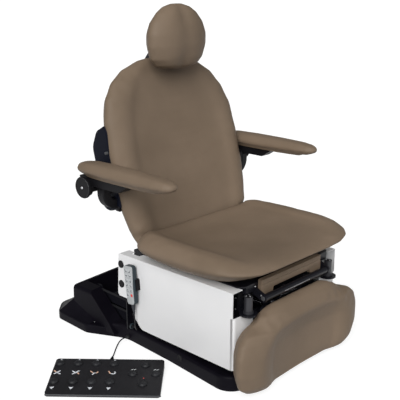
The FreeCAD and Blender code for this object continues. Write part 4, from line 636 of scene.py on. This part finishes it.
def softened(piece, rounds, rest):
    """Softens hollows and ridges along the cushion's thickness alone, so that its outline stays."""
    upright = abs(rest.z) > abs(rest.y)
    shape = bmesh.new()
    shape.from_mesh(piece.data)
    for _ in range(rounds):
        bmesh.ops.smooth_vert(shape, verts=shape.verts, factor=SMOOTH_IN, use_axis_x=False,
                              use_axis_y=not upright, use_axis_z=upright)
    shape.to_mesh(piece.data)
    shape.free()


def inflated(piece, rest, point, shrink, cap):
    """Swells the cover from a slightly smaller shape under cloth pressure, held where it is stapled."""
    mesh = piece.data
    stapled = [(v.co - point).dot(rest) > -STAPLED_WITHIN for v in mesh.vertices]
    held = piece.vertex_groups.new(name="stapled")
    held.add([v.index for v in mesh.vertices if stapled[v.index]], 1.0, "REPLACE")
    normals = [v.normal.copy() for v in mesh.vertices]
    for vert, normal in zip(mesh.vertices, normals):
        if not stapled[vert.index]:
            vert.co -= normal * shrink
    start = [v.co.copy() for v in mesh.vertices]
    cloth = piece.modifiers.new("cover", "CLOTH")
    cloth.settings.quality = 4
    cloth.settings.mass = 0.4
    cloth.settings.tension_stiffness = 20.0
    cloth.settings.compression_stiffness = 20.0
    cloth.settings.bending_stiffness = 8.0
    cloth.settings.use_pressure = True
    cloth.settings.uniform_pressure_force = 4.0
    cloth.settings.effector_weights.gravity = 0.0
    cloth.settings.vertex_group_mass = held.name
    cloth.point_cache.frame_start = 1
    cloth.point_cache.frame_end = COVER_FRAMES
    for step in range(1, COVER_FRAMES + 1):
        scene.frame_set(step)
    applied(piece)
    scene.frame_set(1)
    for vert, begun in zip(piece.data.vertices, start):
        move = vert.co - begun
        if move.length > cap:
            vert.co = begun + move * (cap / move.length)
    piece.vertex_groups.clear()


def fitted(piece, node, rest, swell):
    """Brings the cover back to the size of its foam block, and past it by the swell on its left and right."""
    across = Vector((1.0, 0.0, 0.0))
    turn = Matrix((across, rest.cross(across), rest))
    foam = [turn @ v.co for v in nodes[node].data.vertices]
    cover = [turn @ v.co for v in piece.data.vertices]
    for axis, more in enumerate((swell, 0.0, 0.0)):
        want = [min(p[axis] for p in foam) - more, max(p[axis] for p in foam) + more]
        have = [min(p[axis] for p in cover), max(p[axis] for p in cover)]
        scale = (want[1] - want[0]) / (have[1] - have[0])
        for place in cover:
            place[axis] = want[0] + (place[axis] - have[0]) * scale
    turn_back = turn.transposed()
    for vert, place in zip(piece.data.vertices, cover):
        vert.co = turn_back @ place


def tucked(piece, rest, point):
    """Draws the lower part of the sides in under the cushion, as a rolled edge."""
    middle = sum((v.co for v in piece.data.vertices), Vector()) / len(piece.data.vertices)
    for vert in piece.data.vertices:
        height = (point - vert.co).dot(rest)
        if height < ROLL_DEPTH:
            out = vert.co - middle
            out -= rest * out.dot(rest)
            vert.co -= out * ROLL_SHARE * (1.0 - max(0.0, height) / ROLL_DEPTH) ** 2


def fallen(piece, floor_height):
    """Lets the top of the seat fall towards its front edge."""
    top = max(v.co.z for v in piece.data.vertices)
    for vert in piece.data.vertices:
        along = min(1.0, max(0.0, (FALL_FROM - vert.co.y) / FALL_REACH))
        vert.co.z -= FALL_DEPTH * along ** 2 * (vert.co.z - floor_height) / (top - floor_height)


def deepened(piece, rest):
    """Presses the hollow in the cushion's face further in, by a share of its depth."""
    piece.data.update()
    face = min(v.co.dot(rest) for v in piece.data.vertices)
    moves = []
    for vert in piece.data.vertices:
        facing = max(0.0, -vert.normal.dot(rest))
        moves.append(rest * HOLLOW_SHARE * facing ** 2 * min(vert.co.dot(rest) - face, HOLLOW_LIMIT))
    for vert, move in zip(piece.data.vertices, moves):
        vert.co += move


def sewn_lines(piece, rest):
    """Presses lines of stitching along X into the face of the trim board."""
    for vert in piece.data.vertices:
        if vert.normal.dot(rest) < -LINE_FACING:
            near = sum(math.exp(-((vert.co.z - z) / LINE_WIDTH) ** 2) for z in TRIM_LINES)
            vert.co += rest * LINE_DEPTH * near


def cushion(node, name, body, rest, point, voxel, shrink=0.003, cap=0.006, rounds=10, swell=0.0,
            soft=0):
    """A padded cover from its CAD foam block: smoothed, blown up and fitted back to the block's size."""
    piece = in_scene(name, merged_copy(node, name))
    remeshed(piece, voxel)
    flattened(piece, rest, point, voxel)
    relaxed(piece, rounds, rest, point)
    inflated(piece, rest, point, shrink, cap)
    relaxed(piece, SETTLE_ROUNDS, rest, point)
    softened(piece, soft, rest)
    fitted(piece, node, rest, swell)
    shaded_smooth(piece.data)
    finer = piece.modifiers.new("finer", "SUBSURF")
    finer.levels = 1
    finer.render_levels = 1
    dressed(piece, VINYL, body)
    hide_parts(node)
    return piece


def upholstery():
    """The seven padded pieces."""
    pan = Vector((0, 0, PAN_TOP))
    seat = cushion("seat_cushion", "seat_pad", "seat", DOWN, pan, voxel=0.008, rounds=20,
                   swell=0.011, soft=30)
    fallen(seat, PAN_TOP)
    tucked(seat, DOWN, pan)
    cushion("back_cushion", "back_pad", "back", BACK_OUT, BACK_HINGE + BACK_OUT * BACK_REAR, voxel=0.008,
            rounds=20, swell=0.006, soft=12)
    cushion("headrest_cushion", "headrest_pad", "head", REARWARD, Vector((0, HEAD_REAR, 0)), voxel=0.005,
            rounds=20, swell=0.009, soft=30)
    leg = cushion("leg_cushion", "leg_pad", "leg", REARWARD, Vector((0, LEG_REAR, 0)), voxel=0.007,
                  swell=0.007, soft=3)
    deepened(leg, REARWARD)
    softened(leg, HOLLOW_ROUNDS, REARWARD)
    for _, side in SIDES:
        cushion("arm_pad_" + side, "armrest_pad_" + side, "arm_" + side, DOWN, Vector((0, 0, ARM_BAR_TOP)),
                voxel=0.005, shrink=0.002, cap=0.004)
    trim = cushion("front_trim_pad", "trim_board_pad", "seat", REARWARD, Vector((0, TRIM_REAR, 0)),
                   voxel=0.003, shrink=0.001, cap=0.002, rounds=4)
    sewn_lines(trim, REARWARD)


# Cords
def cord_piece(name, node, route, body):
    """A cord curve along its route, which ends at the fitting."""
    curve = bpy.data.curves.new(name, "CURVE")
    curve.dimensions = "3D"
    curve.bevel_depth = CORD_DIAMETER / 2
    curve.bevel_resolution = 5
    curve.resolution_u = 16
    curve.use_fill_caps = True
    spline = curve.splines.new("NURBS")
    spline.points.add(len(route) - 1)
    for point, place in zip(spline.points, route):
        point.co = (*place, 1.0)
    spline.order_u = 3
    spline.use_endpoint_u = True
    piece = in_scene(name, curve)
    dressed(piece, CORD_RUBBER, body)
    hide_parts(node)


def cords():
    cord_piece("handset_lead", "handset_cord", HANDSET_ROUTE, "carriage")
    cord_piece("foot_lead", "foot_cord", FOOT_ROUTE, "base")


# Side panels
def panel_cutter(side):
    """A block whose upper front edge is round, to cut away the lower rear of a panel."""
    shape = bmesh.new()
    block(shape, CUT_BLOCK, (side * PANEL_OUT, CUT_FROM + CUT_BLOCK[1] / 2, CUT_TOP - CUT_BLOCK[2] / 2))
    inner = [e for e in shape.edges
             if all(v.co.y < CUT_FROM + CUT_NEAR and v.co.z > CUT_TOP - CUT_NEAR for v in e.verts)]
    eased(shape, inner, CUT_ROUND, CUT_STEPS)
    bmesh.ops.recalc_face_normals(shape, faces=shape.faces)
    return in_scene("cut", ended(shape, "cut"))


def panel_skins():
    """The bent sheet panels, with the square cut-out below the handset."""
    for side, name in SIDES:
        cutter = panel_cutter(side)
        skin = in_scene("panel_skin_" + name, merged_copy("side_panel_" + name, "panel_skin_" + name))
        cut = skin.modifiers.new("cut", "BOOLEAN")
        cut.operation = "DIFFERENCE"
        cut.solver = "EXACT"
        cut.object = cutter
        applied(skin)
        bpy.data.objects.remove(cutter)
        shaded_smooth(skin.data)
        skin.data.set_sharp_from_angle(angle=math.radians(PANEL_CREASE))
        dressed(skin, PANEL_WHITE, "carriage")
        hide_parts("side_panel_" + name)


# Fittings
def handset_face(face):
    """Light face plate, narrower towards its lower end."""
    plate = bmesh.new()
    slab(plate, *FACE_PLATE)
    for vert in plate.verts:
        below = max(0.0, TAPER_FROM - vert.co.y) / (FACE_HEIGHT / 2 + TAPER_FROM)
        vert.co.x *= 1.0 - TAPER_SHARE * below
    piece_from("handset_face", plate, HANDSET_GREY, "carriage", face)


def handset_keys(face):
    """Two columns of keys and their pictograms; the lowest right key is round and red."""
    keys, glyphs, stop = bmesh.new(), bmesh.new(), bmesh.new()
    for row, lines in zip(KEY_ROWS, KEY_GLYPHS):
        for column in KEY_COLUMNS:
            place = Matrix.Translation((column, row, FACE_THICK - KEY_SINK))
            if row == KEY_ROWS[-1] and column == KEY_COLUMNS[-1]:
                planted(stop, place, turned, STOP_PROFILE)
                continue
            planted(keys, place, slab, *KEY_PLATE)
            flip = 1 if column < 0 else -1
            top = Matrix.Translation((column, row, FACE_THICK + GLYPH_RISE))
            for x0, y0, x1, y1 in lines:
                planted(glyphs, top, stroke, flip * x0, y0, flip * x1, y1, *GLYPH_LINE)
    piece_from("handset_keys", keys, KEY_GREY, "carriage", face)
    piece_from("handset_glyphs", glyphs, INK_DARK, "carriage", face)
    piece_from("handset_stop_key", stop, KEY_RED, "carriage", face)


def handset_relief(handset):
    """Ribbed sleeve on the cord's upper end, thinner rib by rib."""
    profile = list(RELIEF_HEAD)
    for rib in range(RELIEF_RIBS):
        radius = RELIEF_RADIUS - rib * RELIEF_TAPER
        start = RELIEF_START + rib * RELIEF_PITCH
        profile += [(radius + out, start + down) for out, down in RELIEF_RIB]
    turned_piece("handset_relief", profile + list(RELIEF_TAIL), SLEEVE_GREY, "carriage", "cord_rubber",
                 handset @ on_face(RELIEF_AT, DOWN, REARWARD))


def handset_fittings():
    handset = Matrix.Translation(HANDSET_AT) @ turned_by(HANDSET_LEAN, "X")
    face = handset @ on_face((HANDSET_FACE_X + FACE_THICK - FACE_PROUD, 0.0, 0.0), (-1, 0, 0))
    handset_face(face)
    handset_keys(face)
    handset_relief(handset)


def pedal_print(top):
    """Pictograms and arrows in line with the columns of buttons, and marks above the cluster's two sides."""
    inks = {"white": bmesh.new(), "peach": bmesh.new()}
    for x, icon in zip(PEDAL_COLUMNS, PEDAL_ICONS):
        middle = Matrix.Translation((x, ICON_ROW, -INK_LAYER))
        for ink, *ends in icon:
            planted(inks[ink], middle, stroke, *ends, *ICON_LINE)
        up = Matrix.Translation((x, UP_ROW, INK_LAYER))
        down = Matrix.Translation((x, DOWN_ROW, INK_LAYER)) @ turned_by(180.0, "Z")
        planted(inks["white"], up, arrow, UP_ARROW, ARROW_THICK)
        planted(inks["white"], down, arrow, DOWN_ARROW, ARROW_THICK)
    piece_from("pedal_icons_white", inks["white"], INK_WHITE, "base", top)
    piece_from("pedal_icons_peach", inks["peach"], INK_PEACH, "base", top)
    marks = bmesh.new()
    for x, y in PEDAL_CLUSTER[1:3]:
        for shift in MARK_SHIFTS:
            above = Matrix.Translation((x + shift, y + MARK_ABOVE, -INK_LAYER))
            planted(marks, above, stroke, *MARK_ENDS, *MARK_LINE)
    piece_from("pedal_cluster_marks", marks, KEY_GREY, "base", top)


def pedal_fittings():
    """Domed button tops, a lighter grey strip on the front edge as a painted highlight, and print and a lamp
    on the sloping cover.
    """
    pedal = Matrix.Translation(PEDAL_AT) @ turned_by(PEDAL_TURN, "Z")
    slope = Matrix.Rotation(math.atan(PEDAL_RISE), 4, "X")
    top = pedal @ Matrix.Translation((0.0, 0.0, PEDAL_MIDDLE)) @ slope
    stretch = math.hypot(1.0, PEDAL_RISE)
    places = [(x, y) for y in PEDAL_ROWS for x in PEDAL_COLUMNS] + list(PEDAL_CLUSTER)
    for number, (x, y) in enumerate(places, 1):
        turned_piece(f"button_dome_{number:02d}", DOME_PROFILE, BUTTON_RUBBER, f"button_{number:02d}",
                     "button_rubber", top @ Matrix.Translation((x, y * stretch, BUTTON_RISE)))
    # Lighter grey strip along the front edge: a painted highlight where the light catches the edge
    lit_edge = bmesh.new()
    slab(lit_edge, *LIT_EDGE_PLATE)
    piece_from("pedal_lit_edge", lit_edge, ACTUATOR_CASE, "base", pedal @ on_face(LIT_EDGE_AT, FORWARD))
    pedal_print(top)
    turned_piece("pedal_lamp", LAMP_PROFILE, INK_RED, "base", "pedal_plastic",
                 top @ Matrix.Translation(PEDAL_LAMP))


def knob_fittings():
    """Soft grip rim, a raised ring whose grey is a painted highlight along the rim, and centre screw on each
    arm clamp knob.
    """
    for side, name in SIDES:
        place = on_face((side * KNOB_AT.x, KNOB_AT.y, KNOB_AT.z), (side, 0, 0))
        knob = "knob_" + name
        turned_piece("knob_rim_" + name, RIM_PROFILE, TRIM_BLACK, knob, "trim_plastic", place,
                     segments=KNOB_STEPS, closed=True)
        # The ring's grey paints the rim's highlight onto a raised ridge
        turned_piece("knob_highlight_ring_" + name, HIGHLIGHT_RING_PROFILE, ACTUATOR_CASE, knob, "actuator_case", place,
                     segments=KNOB_STEPS, closed=True)
        middle = bmesh.new()
        screw(middle, KNOB_SCREW_RADIUS)
        piece_from("knob_screw_" + name, middle, PIN_STEEL, knob, place)


def post_fittings():
    """A cap with three screws on each accessory post."""
    caps, screws = bmesh.new(), bmesh.new()
    for place in mirrored(POST_AT):
        planted(caps, Matrix.Translation(place), turned, CAP_PROFILE)
        for turn in POST_SCREW_TURNS:
            ray = turned_by(turn, "Z") @ Vector((POST_SCREW_CIRCLE, 0.0, 0.0))
            planted(screws, Matrix.Translation(place + ray + POST_SCREW_RISE), screw, POST_SCREW_RADIUS)
    piece_from("post_caps", caps, TRIM_BLACK, "seat")
    piece_from("post_screws", screws, PIN_STEEL, "seat")


def highlight_bead():
    """Steel bead along the leg's hinge tube: a painted highlight standing in for the tube's thin glint."""
    bead = bmesh.new()
    bmesh.ops.create_cone(bead, cap_ends=True, segments=BEAD_SIDES, radius1=BEAD_RADIUS, radius2=BEAD_RADIUS,
                          depth=BEAD_LENGTH)
    piece_from("highlight_bead", bead, PIN_STEEL, "leg", on_face(HIGHLIGHT_BEAD_AT, (1, 0, 0)))


def frame_screws():
    """Bright screws beside the trim board, on the hinge lugs and inside the panels' front."""
    seat, carriage = bmesh.new(), bmesh.new()
    for place in mirrored(PAN_SCREW):
        planted(seat, on_face(place, FORWARD), screw, PAN_SCREW_RADIUS)
    for place in mirrored(LUG_SCREW):
        planted(seat, on_face(place, (place.x, 0, 0)), screw, LUG_SCREW_RADIUS)
    for spot in CHEEK_SCREWS:
        for place in mirrored(spot):
            planted(carriage, on_face(place, (place.x, 0, 0)), screw, CHEEK_SCREW_RADIUS)
    piece_from("seat_frame_screws", seat, PIN_STEEL, "seat")
    piece_from("carriage_screws", carriage, PIN_STEEL, "carriage")


def base_fittings():
    """Round plugs in the skirt, the collar of the handset cord's gland and the foot cord's boot."""
    plugs = bmesh.new()
    for place in mirrored(SKIRT_PLUG):
        planted(plugs, on_face(place, (place.x, PLUG_LEAN, 0)), turned, PLUG_PROFILE)
    piece_from("skirt_plugs", plugs, TRIM_BLACK, "base")
    turned_piece("gland_collar", COLLAR_PROFILE, HANDSET_TEAL, "carriage", "handset_shell",
                 on_face(GLAND_AT, FORWARD), closed=True)
    start = Vector(FOOT_ROUTE[0])
    turned_piece("pedal_cord_boot", BOOT_PROFILE, TRIM_BLACK, "base", "cord_rubber",
                 on_face(start, Vector(FOOT_ROUTE[1]) - start))


def shell_fittings():
    """Release latches on the sides of the back shell, and bosses on the front of its arm supports."""
    latches, bosses = bmesh.new(), bmesh.new()
    lean = (0.0, math.sin(BACK_LEAN), math.cos(BACK_LEAN))
    for place in mirrored(SHELL_LATCH):
        face = on_face(place, (place.x, 0, 0), lean)
        planted(latches, face, slab, *LATCH_PLATE)
        planted(latches, face @ Matrix.Translation(LATCH_RIB_AT), slab, *LATCH_RIB)
    piece_from("shell_latches", latches, ACTUATOR_CASE, "back")
    for place in mirrored(SUPPORT_BOSS):
        planted(bosses, on_face(place, FORWARD), turned, BOSS_PROFILE)
    piece_from("support_bosses", bosses, TRIM_BLACK, "back")


# Stage
def stage_piece(name, finish, shape, tone, glow):
    """A matt, glowing piece of the studio that doesn't light the chair."""
    mesh = ended(shape, name)
    material, _, shader = new_finish(finish)
    shader.inputs["Base Color"].default_value = (tone, tone, tone, 1.0)
    shader.inputs["Roughness"].default_value = MATT
    shader.inputs["Specular IOR Level"].default_value = 0.0
    shader.inputs["Emission Color"].default_value = WHITE
    shader.inputs["Emission Strength"].default_value = glow
    mesh.materials.append(material)
    piece = in_scene(name, mesh)
    piece.visible_diffuse = False
    return piece


def add_light(name, come_from, power, softness):
    light = bpy.data.lights.new(name, "SUN")
    light.energy = power
    light.angle = math.radians(softness)
    lamp = in_scene(name, light)
    lamp.location = Vector(come_from) * LAMP_AWAY
    lamp.rotation_euler = Vector(come_from).to_track_quat("Z", "Y").to_euler()


def stage():
    """White floor and backdrop, a weak sky and two lights."""
    ground = bmesh.new()
    bmesh.ops.create_grid(ground, x_segments=1, y_segments=1, size=FLOOR_REACH)
    bmesh.ops.translate(ground, vec=(0, 0, -FLOOR_DROP), verts=ground.verts)
    stage_piece("floor", "pale_floor", ground, FLOOR_TONE, FLOOR_GLOW)
    round_wall = bmesh.new()
    bmesh.ops.create_cone(round_wall, cap_ends=False, segments=WALL_SIDES, radius1=WALL_AWAY,
                          radius2=WALL_AWAY, depth=WALL_HIGH)
    backdrop = stage_piece("backdrop", "white_wall", round_wall, WALL_TONE, WALL_GLOW)
    backdrop.visible_glossy = False
    backdrop.visible_shadow = False
    world = bpy.data.worlds.new("studio")
    world.use_nodes = True
    world.node_tree.nodes["Background"].inputs["Color"].default_value = WHITE
    world.node_tree.nodes["Background"].inputs["Strength"].default_value = WORLD_LIGHT
    scene.world = world
    scene.view_settings.view_transform = "Standard"
    add_light("key", KEY_FROM, KEY_POWER, KEY_SOFTNESS)
    add_light("fill", FILL_FROM, FILL_POWER, FILL_SOFTNESS)


def camera():
    """The photograph's own view."""
    data = bpy.data.cameras.new("camera")
    data.sensor_width = SENSOR
    data.lens = CAMERA_LENS
    view = in_scene("camera", data)
    view.location = CAMERA_AT
    view.rotation_euler = (math.radians(90.0 - CAMERA_DIP), 0.0, math.radians(CAMERA_TURN))
    scene.camera = view


camera()
cords()
dress_nodes()
upholstery()
panel_skins()
handset_fittings()
pedal_fittings()
knob_fittings()
post_fittings()
highlight_bead()
frame_screws()
base_fittings()
shell_fittings()
stage()
